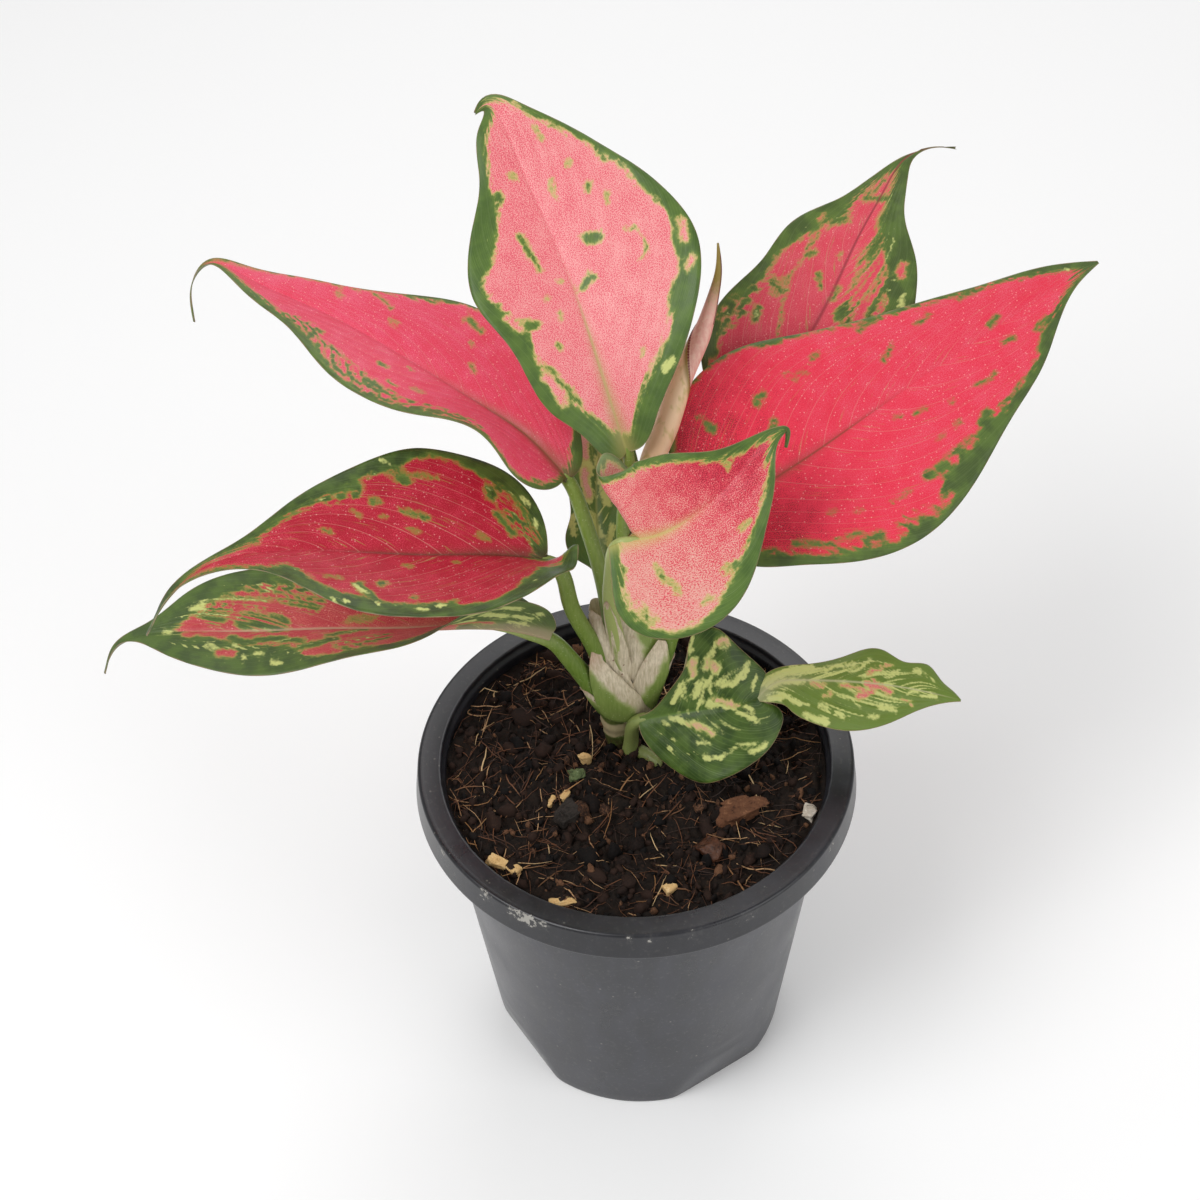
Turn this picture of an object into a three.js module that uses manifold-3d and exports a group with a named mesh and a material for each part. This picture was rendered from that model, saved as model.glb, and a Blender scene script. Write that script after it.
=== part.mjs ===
// A potted Aglaonema with pink, red and green leaves, in a black plastic nursery pot.
// Millimetres, +Z up. The origin is the middle of the pot's underside, and -Y is the plant's front.

import * as THREE from 'three';
import { mergeVertices } from 'three/addons/utils/BufferGeometryUtils.js';
import Module from 'manifold-3d';

const wasm = await Module();
wasm.setup();

// Driving dimensions

const GAP = 0.35;
const GROWN = 0.4;

const pot = {
  height: 136,
  rimRadius: 75,
  rimWidth: 8.2,
  skirtHeight: 10.6,
  skirtFlare: 1.1,
  wall: 1.3,
  shoulderRadius: 67,
  baseRadius: 53,
  midHeight: 70,
  rimRound: 0.8,
  segments: 60,
};

// Four flats pressed into the foot of the pot, given by the azimuth of the first one.
const flat = {
  count: 4,
  firstAzimuth: THREE.MathUtils.degToRad(-58),
  distance: 49.5,
  heights: [0, 8, 16, 23],
};

const drain = { radius: 4.5, circle: 36, sides: 16 };

const soil = { top: 130, mound: 1.6, slack: 0.7, rings: 7 };

const cane = {
  path: [[-5.5, 13.5, 112], [-5.5, 13.5, 132], [-5.4, 13.5, 146], [-3, 15, 164]],
  radii: [5, 4.8, 6, 4.2],
};

const blade = { thickness: 0.9, rows: 12, strips: 3, ribLag: 1.25, curl: 0.001 };
const stalkSides = 8;
const caneSides = 12;

// Leaves
// A blade is given as if pressed flat: each outline point is its distance along the rib, then its
// distance out from the rib. The rib is the blade's middle line as it stands in space, facing is
// the way that its upper side looks at the base and at the tip, and each half rises from the rib
// by its fold, in degrees at even steps from base to tip. A bend moves the blade near one pressed place.

const leaves = {
  leaf_top: {
    stalk: [[0, 15, 165], [0, 17, 190], [-1, 21, 240], [0, 24, 256]],
    stalkRadii: [3, 2.6, 2, 1.8],
    blades: [{
      rib: [[0, 24, 256], [-4, 31, 268], [-12, 51, 289], [-21, 72, 305], [-32, 94, 322], [-40, 106, 330],
        [-44, 108, 326]],
      facing: [[0, -0.7, 0.75], [0, -0.55, 0.85]],
      roll: 0,
      foldLeft: [14, 10, 4],
      foldRight: [14, 10, 4],
      left: [[-1, 4], [10, 12], [19, 19], [40, 25], [60, 31], [83, 23], [97, 14], [113, 8], [120, 2]],
      right: [[0, 3], [9, 13], [21, 23], [36, 34], [47, 40], [56, 42], [71, 38], [89, 28], [105, 17],
        [115, 7]],
    }],
    colour: 0xee8a90,
  },
  leaf_upper_left: {
    stalk: [[-6, 15, 165], [-8, 14, 200], [-11, 16, 219], [-15, 19, 236], [-19, 22, 248]],
    stalkRadii: [3.2, 2.6, 2.5, 2.4, 2.2],
    blades: [{
      rib: [[-19, 22, 248], [-31, 32, 257], [-43, 42, 260], [-71, 64, 265], [-98, 82, 270], [-124, 96, 275],
        [-134, 100, 277], [-142, 100, 268], [-143, 98, 254]],
      facing: [[-0.2, -0.1, 1], [-0.2, 0, 1]],
      roll: -10,
      foldLeft: [18, 34, 18, 14, 14, 8, 8],
      foldRight: [18, 16, 14, 11, 8],
      left: [[0, 6], [6, 17], [14, 22], [23, 22], [33, 26], [51, 29],
        [74, 28], [103, 18], [129, 7], [145, 2]],
      right: [[-1, 3], [5, 11], [17, 18], [39, 27], [62, 28], [86, 19], [102, 12], [117, 9], [137, 3]],
    }],
    colour: 0xd9506a,
  },
  leaf_middle_left: {
    stalk: [[-5, 12, 145], [-8, 9, 171], [-14, 7, 191], [-20, 4, 211], [-26, 0, 234]],
    stalkRadii: [4, 3, 2.8, 2.7, 2.4],
    blades: [{
      rib: [[-26, 0, 234], [-43, -3, 240], [-63, -6, 244], [-89, -9, 250], [-110, -12, 254],
        [-124, -14, 253], [-140, -14, 241], [-153, -12, 219]],
      facing: [[-0.1, -0.1, 1], [-0.2, -0.1, 1]],
      roll: 0,
      foldLeft: [38, 18, 16, 8],
      foldRight: [17, 17, 8],
      bend: { at: [-10, -9], reach: 7, move: [-1.5, 2, 9] },
      left: [[-9, 8], [3, 22], [14, 33], [25, 38], [38, 37], [55, 33],
        [73, 25], [90, 11], [106, 4], [125, 2]],
      right: [[0, 9], [3, 19], [8, 26], [24, 35], [40, 37], [61, 29.5],
        [79, 17], [96, 5], [111, 2.5], [130, 1.5]],
    }],
    colour: 0xc23a4c,
  },
  leaf_lower_left: {
    stalk: [[-5.2, 12.8, 147.5], [-8, 8.5, 153], [-14, 6, 167], [-22, 4, 185], [-27, 2, 197]],
    stalkRadii: [4, 4.2, 3.3, 2.9, 2.6],
    blades: [{
      rib: [[-27, 2, 197], [-36, 1, 202], [-49, 0, 205], [-75, -2, 207], [-97, -2, 208], [-126, 0, 206],
        [-156, 4, 202], [-168, 6, 195], [-175, 6, 182]],
      facing: [[-0.1, -0.1, 1], [-0.2, -0.1, 1]],
      roll: 0,
      foldLeft: [84, 74, 47, 30, 14, 11, 16, 12, 8],
      foldRight: [10, 10, 8],
      left: [[0, 3], [3, 9], [9, 15.5], [21, 20.5], [40, 21], [60, 21], [80, 20], [98, 20], [112, 17],
        [124, 10.5], [136, 3]],
      right: [[0, 4], [5, 9], [20, 15], [43, 20], [74, 24], [104, 22], [121, 15], [133, 5], [146, 1.5]],
    }],
    colour: 0xb0515a,
  },
  leaf_front: {
    stalk: [[-4, 10, 160], [-5, 8, 187], [-7, 5, 209], [-6, 1, 231], [-2, -4, 245]],
    stalkRadii: [3, 2.6, 2.4, 2.2, 2],
    blades: [{
      rib: [[-2, -4, 245], [6, -3, 245], [21, 2, 250], [34, 9, 260], [46, 16, 270], [49, 18, 269],
        [49, 17, 262]],
      facing: [[0, -0.7, 0.7], [0, -0.7, 0.7]],
      roll: 0,
      foldLeft: [8, 8],
      foldRight: [8, 8],
      left: [[1, 4], [-0.8, 12], [-4.4, 19], [-4, 23.5], [10, 24], [29, 20.5], [47, 8], [58, 2]],
      right: [[-5, 6], [-5, 14], [-4, 22], [3, 30], [11, 33],
        [22, 29], [37, 17], [50, 9], [59, 3]],
    }],
    colour: 0xe9808a,
  },
  leaf_right: {
    stalk: [[1, 12, 142], [8, 12, 162], [12.5, 12, 182], [18, 16, 206], [24, 20, 230]],
    stalkRadii: [4, 3.2, 2.9, 2.7, 2.4],
    blades: [{
      rib: [[24, 20, 230], [50, 32, 237], [76, 46, 246], [105, 62, 256], [134, 78, 265], [157, 90, 272]],
      facing: [[0.1, -0.7, 0.7], [0.1, -0.6, 0.7]],
      roll: 10,
      foldLeft: [10, 8, 4],
      foldRight: [10, 8, 4],
      left: [[-7, 8], [0, 24], [10, 36], [26, 42], [44, 41], [61, 34],
        [79, 27], [98, 21], [117, 15], [138, 9]],
      right: [[-3, 9], [6, 22], [18, 29], [33, 38], [54, 43.5], [76, 39], [100, 28], [121, 18.5],
        [145, 3.2]],
    }],
    colour: 0xe04464,
  },
  leaf_upper_right: {
    stalk: [[3, 18, 158], [10, 24, 185], [28, 40, 222], [45, 52, 240]],
    stalkRadii: [3, 2.6, 2.3, 2],
    blades: [{
      rib: [[45, 52, 240], [55, 66, 251], [70, 88, 265], [80, 104, 276], [89, 116, 285], [96, 124, 291],
        [105, 130, 291], [115, 136, 286]],
      facing: [[0.1, -0.6, 0.7], [0.1, -0.6, 0.7]],
      roll: 5,
      foldLeft: [10, 8, 4],
      foldRight: [10, 8, 4],
      left: [[-3, 6], [2, 21], [11, 29], [30, 31], [48, 26], [66, 22], [79, 12], [90, 6.5], [101, 1.5]],
      right: [[1, 10], [16, 25], [40, 30], [59, 26], [75, 19], [85, 10], [97, 5], [106, 1.5]],
    }],
    colour: 0xc94a60,
  },
  // The lowest leaf was nipped in the bud, so its blade has a waist between two broad parts.
  leaf_low: {
    stalk: [[-2, 8, 128], [-1, 6, 140], [2, 0.5, 155]],
    stalkRadii: [2.7, 2.5, 2.2],
    blades: [{
      rib: [[2, 0, 155], [19, -2, 161], [35, -2, 164], [43, 1, 164]],
      facing: [[0, -0.77, 0.64], [0, -0.7, 0.7]],
      roll: 0,
      foldLeft: [4, 4],
      foldRight: [4, 4],
      left: [[3, 2], [12, 8], [19.5, 17], [23, 26], [31, 27], [40, 18.5], [45.5, 10], [47, 5], [44, 1.5]],
      right: [[-1, 3], [1, 10], [8, 19], [18, 24.5], [27, 23.5], [36, 19.5],
        [45, 13], [48, 8], [46, 4], [43, 1.5]],
    }, {
      rib: [[41, 0, 164], [47, 3, 168], [56, 5, 167], [73, 7, 163], [94, 9, 156], [112, 9, 149]],
      facing: [[0, -0.6, 0.8], [0, -0.6, 0.8]],
      roll: 0,
      foldLeft: [-30, -30],
      foldRight: [10, 8],
      left: [[5, 4], [10, 5], [23, 7], [37, 11.5], [49, 14], [56, 10.5], [65, 11.5], [70, 6], [74, 3]],
      right: [[3, 5], [16, 13], [34, 17], [49, 13.5], [61, 7], [73, 1.5]],
    }],
    colour: 0x5f8440,
  },
  leaf_back: {
    stalk: [[-6, 18, 150], [-8, 20, 180], [-9, 22, 203]],
    stalkRadii: [2.6, 2.2, 2],
    blades: [{
      rib: [[-9, 22, 203], [-10, 34, 212], [-10, 46, 221], [-8, 58, 230], [-6, 68, 237]],
      facing: [[0.1, -0.5, 0.8], [0.1, -0.4, 0.9]],
      roll: 0,
      foldLeft: [8, 8],
      foldRight: [8, 8],
      left: [[3, 4], [8, 10], [14, 11], [20, 9], [30, 10], [43, 9], [53, 5]],
      right: [[3, 5], [14, 12], [26, 15], [43, 12], [54, 5]],
    }],
    colour: 0x4f6f45,
  },
};

// The newest leaf is still rolled up, and stands in the middle of the plant as a spear.
const spear = {
  path: [[3, 16, 200], [6, 23, 227], [8.1, 29.9, 246.8], [12.3, 34.2, 255.5], [18, 44, 267.6],
    [24.4, 51, 279.1], [28.9, 57.8, 290.9], [30.4, 60.7, 297.7], [30.3, 64, 305.6]],
  radii: [2, 2.2, 2.6, 3.7, 3.75, 3.65, 3.2, 1.75, 0.35],
};

const oldStub = {
  path: [[0, 9, 129.5], [4.5, 4.5, 131], [9, 0, 130.5]],
  radii: [2.4, 2.4, 2.1],
};

// Chips, stones and lumps on the soil: place, length, width, height and turn in degrees.
const lumps = {
  wood_chip_1: { at: [-47.6, -39.2], size: [7.9, 4.2, 3.2], turn: -20, colour: 0xd8c795 },
  wood_chip_2: { at: [-41.6, -42.6], size: [5.2, 4.2, 3.5], turn: 35, colour: 0xe2d3a4 },
  wood_chip_3: { at: [-25.8, -56.6], size: [9.6, 3.8, 2.8], turn: 5, colour: 0xc9b27c },
  wood_chip_4: { at: [-29, -14.2], size: [5, 3.2, 2.7], turn: 70, colour: 0xc9a86a },
  wood_chip_5: { at: [-24.2, -12.2], size: [6.2, 3.7, 3], turn: 60, colour: 0xd4b878 },
  wood_chip_6: { at: [-18, 4.4], size: [5.7, 4.7, 4], turn: 20, colour: 0xcdb183 },
  wood_chip_7: { at: [8.8, -52], size: [5.7, 4.2, 3.2], turn: 40, colour: 0xd8c08a },
  white_stone: { at: [58.2, -22.9], size: [6.2, 4.7, 4], turn: 70, colour: 0xd9d5cc },
  brown_lump: { at: [24.2, -37.5], size: [13, 9.2, 6.9], turn: -35, colour: 0x4a3024 },
  bark_piece: { at: [34.7, -21], size: [18.6, 12.4, 5], turn: 15, colour: 0x3b261d },
  dark_lump: { at: [-23.6, -20.8], size: [10.5, 8.7, 5.7], turn: 40, colour: 0x241c1a },
  mossy_lump: { at: [-20.9, -3.4], size: [6.7, 5.7, 4.2], turn: 0, colour: 0x56583a },
};

// Materials

function paint(colour, roughness) {
  return new THREE.MeshStandardMaterial({ color: colour, roughness, metalness: 0, side: THREE.DoubleSide });
}

// Solids

function toSolid(geometry) {
  const plain = geometry.index ? geometry.toNonIndexed() : geometry.clone();
  plain.deleteAttribute('normal');
  plain.deleteAttribute('uv');
  const merged = mergeVertices(plain, 1e-4);
  const index = merged.index.array;
  const kept = [];
  for (let i = 0; i < index.length; i += 3) {
    const [a, b, c] = [index[i], index[i + 1], index[i + 2]];
    if (a !== b && b !== c && c !== a) kept.push(a, b, c);
  }
  const vertProperties = new Float32Array(merged.attributes.position.array);
  const build = (triVerts) => new wasm.Manifold(
    new wasm.Mesh({ numProp: 3, vertProperties, triVerts: new Uint32Array(triVerts) }),
  );
  const solid = build(kept);
  if (solid.volume() > 0) return solid;
  const turned = [];
  for (let i = 0; i < kept.length; i += 3) turned.push(kept[i], kept[i + 2], kept[i + 1]);
  return build(turned);
}

function largest(solid) {
  const pieces = solid.decompose();
  return pieces.reduce((a, b) => (b.volume() > a.volume() ? b : a));
}

function toMesh(name, solid, material) {
  const { vertProperties, triVerts, numProp } = solid.getMesh();
  const count = vertProperties.length / numProp;
  const position = new Float32Array(count * 3);
  for (let i = 0; i < count; i += 1) {
    for (let k = 0; k < 3; k += 1) position[3 * i + k] = vertProperties[numProp * i + k];
  }
  const geometry = new THREE.BufferGeometry();
  geometry.setAttribute('position', new THREE.BufferAttribute(position, 3));
  geometry.setIndex(Array.from(triVerts));
  geometry.computeVertexNormals();
  const mesh = new THREE.Mesh(geometry, material);
  mesh.name = name;
  return mesh;
}

function cutAway(solid, cutters) {
  return cutters.reduce((rest, cutter) => rest.subtract(cutter), solid);
}

// Curves and surfaces

const vector = ([x, y, z]) => new THREE.Vector3(x, y, z);

// The value at t from 0 to 1 in a list whose entries stand at even steps.
function along(list, t) {
  const place = t * (list.length - 1);
  const i = Math.min(Math.floor(place), list.length - 2);
  return THREE.MathUtils.lerp(list[i], list[i + 1], place - i);
}

function surfaceOf(rows, quads) {
  const geometry = new THREE.BufferGeometry();
  geometry.setAttribute('position', new THREE.Float32BufferAttribute(rows.flatMap((p) => p.toArray()), 3));
  geometry.setIndex(quads.flatMap(([a, b, c, d]) => [a, b, c, a, c, d]));
  return geometry;
}

// A round bar along a curve: a ring of points at each step, and both ends closed.
function bar({ path, radii }, grow = 0, sides = stalkSides) {
  const curve = new THREE.CatmullRomCurve3(path.map(vector));
  const steps = (path.length - 1) * 2;
  const { normals, binormals } = curve.computeFrenetFrames(steps);
  const points = [];
  for (let i = 0; i <= steps; i += 1) {
    const centre = curve.getPointAt(i / steps);
    const radius = along(radii, i / steps) + grow;
    for (let k = 0; k < sides; k += 1) {
      const turn = (2 * Math.PI * k) / sides;
      points.push(centre.clone()
        .addScaledVector(normals[i], radius * Math.cos(turn))
        .addScaledVector(binormals[i], radius * Math.sin(turn)));
    }
  }
  const start = points.push(curve.getPointAt(0)) - 1;
  const end = points.push(curve.getPointAt(1)) - 1;
  const quads = [];
  for (let k = 0; k < sides; k += 1) {
    const next = (k + 1) % sides;
    for (let i = 0; i < steps; i += 1) {
      quads.push([i * sides + k, i * sides + next, (i + 1) * sides + next, (i + 1) * sides + k]);
    }
    quads.push([start, next, k, k]);
    quads.push([end, steps * sides + k, steps * sides + next, steps * sides + next]);
  }
  return toSolid(surfaceOf(points, quads));
}

// The upper side of a blade: a function of the pressed place that gives the place in space.
function bladeSurface({ rib, facing, roll, foldLeft, foldRight, bend }) {
  const curve = new THREE.CatmullRomCurve3(rib.map(vector));
  const length = curve.getLength();
  const [faceBase, faceTip] = facing.map(vector);
  const turn = THREE.MathUtils.degToRad(roll);
  const place = (distance, out) => {
    const t = THREE.MathUtils.clamp(distance / length, 0, 1);
    const tangent = curve.getTangentAt(t);
    const face = faceBase.clone().lerp(faceTip, t);
    const up = face.addScaledVector(tangent, -face.dot(tangent)).normalize();
    const side = tangent.clone().cross(up);
    const across = side.clone().multiplyScalar(Math.cos(turn)).addScaledVector(up, Math.sin(turn));
    const normal = up.multiplyScalar(Math.cos(turn)).addScaledVector(side, -Math.sin(turn));
    const fold = THREE.MathUtils.degToRad(along(out < 0 ? foldLeft : foldRight, t));
    const point = curve.getPointAt(t)
      .addScaledVector(tangent, distance - t * length)
      .addScaledVector(across, out * Math.cos(fold))
      .addScaledVector(normal, Math.abs(out) * Math.sin(fold) - blade.curl * out * out);
    if (!bend) return point;
    const away = Math.hypot(distance - bend.at[0], out - bend.at[1]);
    return point.addScaledVector(vector(bend.move), Math.exp(-((away / bend.reach) ** 2)));
  };
  return { length, place };
}

// One margin as a smooth curve from the blade's base, or the back of its basal lobe, to its tip.
function marginCurve(points, length) {
  const ends = [[Math.min(0, points[0][0]), 1.5], ...points, [length, 0.5]];
  return new THREE.SplineCurve(ends.map(([x, y]) => new THREE.Vector2(x, y)));
}

// A thin closed sheet: the blade's surface, moved half its thickness to both sides.
function bladeSolid(shape) {
  const { thickness, rows, strips, ribLag } = blade;
  const { length, place } = bladeSurface(shape);
  const margins = [marginCurve(shape.left, length), marginCurve(shape.right, length)];
  const columns = 2 * strips + 1;
  const grid = [];
  for (let i = 0; i <= rows; i += 1) {
    const t = i / rows;
    const station = length * t ** ribLag;
    for (let j = 0; j < columns; j += 1) {
      const share = (j - strips) / strips;
      const edge = margins[share < 0 ? 0 : 1].getPointAt(t);
      const distance = THREE.MathUtils.lerp(station, edge.x, Math.abs(share));
      grid.push(place(distance, share * edge.y));
    }
  }
  const clamp = (value, most) => THREE.MathUtils.clamp(value, 0, most);
  const at = (i, j) => grid[clamp(i, rows) * columns + clamp(j, columns - 1)];
  const points = [];
  for (const side of [0.5, -0.5]) {
    for (let i = 0; i <= rows; i += 1) {
      for (let j = 0; j < columns; j += 1) {
        const lengthwise = at(i + 1, j).clone().sub(at(i - 1, j));
        const crosswise = at(i, j + 1).clone().sub(at(i, j - 1));
        const normal = crosswise.cross(lengthwise).normalize();
        points.push(at(i, j).clone().addScaledVector(normal, side * thickness));
      }
    }
  }
  const below = grid.length;
  const quads = [];
  for (let i = 0; i < rows; i += 1) {
    for (let j = 0; j < columns - 1; j += 1) {
      const a = i * columns + j;
      quads.push([a, a + 1, a + columns + 1, a + columns]);
      quads.push([below + a, below + a + columns, below + a + columns + 1, below + a + 1]);
    }
    const left = i * columns;
    const right = left + columns - 1;
    quads.push([left, left + columns, below + left + columns, below + left]);
    quads.push([right + columns, right, below + right, below + right + columns]);
  }
  for (let j = 0; j < columns - 1; j += 1) {
    const tip = rows * columns + j;
    quads.push([j + 1, j, below + j, below + j + 1]);
    quads.push([tip, tip + 1, below + tip + 1, below + tip]);
  }
  return toSolid(surfaceOf(points, quads));
}

// The pot

// The outer radius of the pot's tapered body at a height.
function bodyRadius(z) {
  const slope = (pot.shoulderRadius - pot.baseRadius) / (pot.height - pot.skirtHeight);
  return pot.baseRadius + slope * z;
}

// How far out the wall may reach at an azimuth and height, so that it stays within the flats.
function flatLimit(azimuth, z) {
  const top = flat.heights.at(-1);
  const distance = THREE.MathUtils.lerp(flat.distance, bodyRadius(top), z / top);
  const turn = (2 * Math.PI) / flat.count;
  const off = azimuth - flat.firstAzimuth;
  const nearest = off - turn * Math.round(off / turn);
  return distance / Math.cos(nearest);
}

// Revolves a profile of radius and height about Z and presses the four flats into it.
function turned(profile, inset) {
  const geometry = new THREE.LatheGeometry(profile.map(([r, z]) => new THREE.Vector2(r, z)), pot.segments);
  geometry.rotateX(Math.PI / 2);
  const position = geometry.attributes.position;
  for (let i = 0; i < position.count; i += 1) {
    const [x, y, z] = [position.getX(i), position.getY(i), position.getZ(i)];
    const radius = Math.hypot(x, y);
    if (radius < 1 || z > flat.heights.at(-1)) continue;
    const limit = flatLimit(Math.atan2(y, x), z) - inset(radius, z);
    const scale = Math.min(1, limit / radius);
    position.setXY(i, x * scale, y * scale);
  }
  return geometry;
}

function potSolid() {
  const { height, rimRadius, rimWidth, rimRound, skirtHeight, skirtFlare, midHeight, wall } = pot;
  const lip = height - wall;
  const mouth = rimRadius - rimWidth;
  const skirtFoot = height - skirtHeight;
  const outer = flat.heights.map((z) => [bodyRadius(z), z]);
  const inner = flat.heights.slice(1).reverse().map((z) => [bodyRadius(z) - wall, z]);
  const profile = [
    [0, 0],
    ...outer,
    [bodyRadius(midHeight), midHeight],
    [bodyRadius(skirtFoot), skirtFoot],
    [mouth + rimRound, lip],
    [rimRadius - wall, lip],
    [rimRadius + skirtFlare - wall, skirtFoot],
    [rimRadius + skirtFlare, skirtFoot],
    [rimRadius, height - 1.6 * rimRound],
    [rimRadius - 0.6 * rimRound, height - 0.5 * rimRound],
    [rimRadius - 1.8 * rimRound, height],
    [mouth + 0.5 * rimRound, height],
    [mouth - 0.5 * rimRound, height - rimRound],
    [bodyRadius(skirtFoot) - wall, skirtFoot],
    ...inner,
    [bodyRadius(wall) - wall, wall],
    [0, wall],
  ];
  const insideWall = (radius, z) => (radius < bodyRadius(z) - 0.5 * wall ? wall : 0);
  let solid = toSolid(turned(profile, insideWall));
  for (let k = 0; k < flat.count; k += 1) {
    const azimuth = flat.firstAzimuth + (2 * Math.PI * k) / flat.count;
    const hole = new THREE.CylinderGeometry(drain.radius, drain.radius, 4 * wall, drain.sides);
    hole.rotateX(Math.PI / 2);
    hole.translate(drain.circle * Math.cos(azimuth), drain.circle * Math.sin(azimuth), 0);
    solid = solid.subtract(toSolid(hole));
  }
  return solid;
}

// The soil

// The height of the soil's top at a place: a low mound with broad shallow waves over it.
function soilHeight(x, y) {
  const radius = Math.hypot(x, y);
  const mound = soil.mound * (Math.cos((Math.PI * radius) / (2 * pot.shoulderRadius)) - 0.5);
  const waves = 0.7 * Math.sin(0.21 * x + 1.3) * Math.sin(0.19 * y - 0.4);
  const ripples = 0.4 * Math.sin(0.4 * x - 0.33 * y);
  return soil.top + mound + waves + ripples;
}

function soilSolid() {
  const inset = pot.wall + GAP;
  const edge = bodyRadius(pot.height - pot.skirtHeight) - inset;
  const profile = [[0, inset], [bodyRadius(inset) - inset, inset]];
  for (const z of [...flat.heights.slice(1), pot.midHeight]) profile.push([bodyRadius(z) - inset, z]);
  for (let i = soil.rings; i >= 0; i -= 1) profile.push([(edge * i) / soil.rings, soil.top]);
  const geometry = turned(profile, () => inset + soil.slack);
  const position = geometry.attributes.position;
  for (let i = 0; i < position.count; i += 1) {
    if (position.getZ(i) === soil.top) position.setZ(i, soilHeight(position.getX(i), position.getY(i)));
  }
  return toSolid(geometry);
}

// A rough lump: a ball with its corners pushed in and out, flattened and half sunk in the soil.
function lumpSolid({ at, size, turn }, seed, grow = 0) {
  const geometry = new THREE.IcosahedronGeometry(0.5, 1);
  const position = geometry.attributes.position;
  for (let i = 0; i < position.count; i += 1) {
    const p = new THREE.Vector3().fromBufferAttribute(position, i);
    const broad = 0.12 * Math.sin(9 * p.x + seed) * Math.cos(7 * p.y - seed);
    const fine = 0.08 * Math.sin(11 * p.z + seed);
    p.multiplyScalar(1 + broad + fine);
    position.setXYZ(i, p.x, p.y, p.z);
  }
  geometry.scale(...size.map((s) => s + 2 * grow));
  geometry.rotateZ(THREE.MathUtils.degToRad(turn));
  geometry.translate(at[0], at[1], soilHeight(...at) + 0.2 * size[2]);
  return toSolid(geometry);
}

// Assembly

const plant = new THREE.Group();
const stalkPaint = paint(0x6f8f45, 0.5);

plant.add(toMesh('pot', potSolid(), paint(0x33353a, 0.5)));

// Each stem makes room for the stems before it, and the soil makes room for all that stand in it.
const stems = [bar(cane, GROWN, caneSides)];
plant.add(toMesh('cane', bar(cane, 0, caneSides), paint(0x8f9a62, 0.6)));

plant.add(toMesh('old_stub', largest(cutAway(bar(oldStub), stems)), stalkPaint));
stems.push(bar(oldStub, GROWN));

for (const [name, leaf] of Object.entries(leaves)) {
  const stalk = { path: leaf.stalk, radii: leaf.stalkRadii };
  const whole = leaf.blades.reduce((joined, shape) => joined.add(bladeSolid(shape)), bar(stalk));
  plant.add(toMesh(name, largest(cutAway(whole, stems)), paint(leaf.colour, 0.45)));
  stems.push(bar(stalk, GROWN));
}

plant.add(toMesh('leaf_rolled', largest(cutAway(bar(spear), stems)), paint(0xd0b088, 0.5)));

const inSoil = [...stems];
Object.entries(lumps).forEach(([name, lump], i) => {
  plant.add(toMesh(name, lumpSolid(lump, i), paint(lump.colour, 0.85)));
  inSoil.push(lumpSolid(lump, i, GAP));
});

plant.add(toMesh('soil', largest(cutAway(soilSolid(), inSoil)), paint(0x2a1e18, 0.95)));

export default plant;
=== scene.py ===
import math

import bpy
import numpy as np
from mathutils import Matrix


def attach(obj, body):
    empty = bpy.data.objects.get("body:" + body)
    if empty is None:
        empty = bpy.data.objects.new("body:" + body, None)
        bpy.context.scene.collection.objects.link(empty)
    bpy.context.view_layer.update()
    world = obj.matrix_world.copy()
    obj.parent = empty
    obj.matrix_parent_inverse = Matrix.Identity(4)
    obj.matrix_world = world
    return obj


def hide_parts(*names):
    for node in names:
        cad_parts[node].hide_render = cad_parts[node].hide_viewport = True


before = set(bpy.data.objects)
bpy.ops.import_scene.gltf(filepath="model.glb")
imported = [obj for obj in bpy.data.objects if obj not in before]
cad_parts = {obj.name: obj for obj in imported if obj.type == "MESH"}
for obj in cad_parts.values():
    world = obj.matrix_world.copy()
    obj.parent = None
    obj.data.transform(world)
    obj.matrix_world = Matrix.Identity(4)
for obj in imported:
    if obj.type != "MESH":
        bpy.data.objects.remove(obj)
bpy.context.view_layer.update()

# A potted Chinese evergreen: a black nursery pot of coir soil, a short cane, ten variegated leaves
# and the loose pieces on the soil. Tables are in millimetres, meshes in metres, and -Y is the front.

MM = 0.001

# Blades

# A blade's grid: its rows and the columns of each half, and the powers by which the rows gather
# towards the base and the columns towards the rib.
BLADE_ROWS = 150
BLADE_HALF = 30
RIB_LAG = 1.25
COLUMN_GATHER = 1.3

# How far a blade curls down at a distance out, per square millimetre, its thickness in the middle
# and at its edge, and the gap between side veins along the rib.
BLADE_CURL = 0.001
BLADE_THICK = 0.5
EDGE_THICK = 0.22
VEIN_GAP = 11.5

# A blade's relief: the groove along its upper side, the keel under its rib at the base and at the
# tip, the swells between side veins, the waves of its margin and the ripple of its skin.
RELIEF = dict(groove=0.45, keel=1.7, tip_keel=0.2, swell=0.08, wave=0.5, ripple=0.05)

# Noise on a blade as layers, each its strength, its size along and its size out: how far the marks
# wander, how the margin's green runs inwards along the veins, and how mottled green breaks up.
WANDER = (0.8, 3.1, 3.1), (0.4, 1.2, 1.2)
INLETS = (1.2, 2.2, 6), (0.5, 0.9, 2.6)
STREAKS = (1, 1.9, 4.5), (0.6, 0.8, 2.1)

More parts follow.
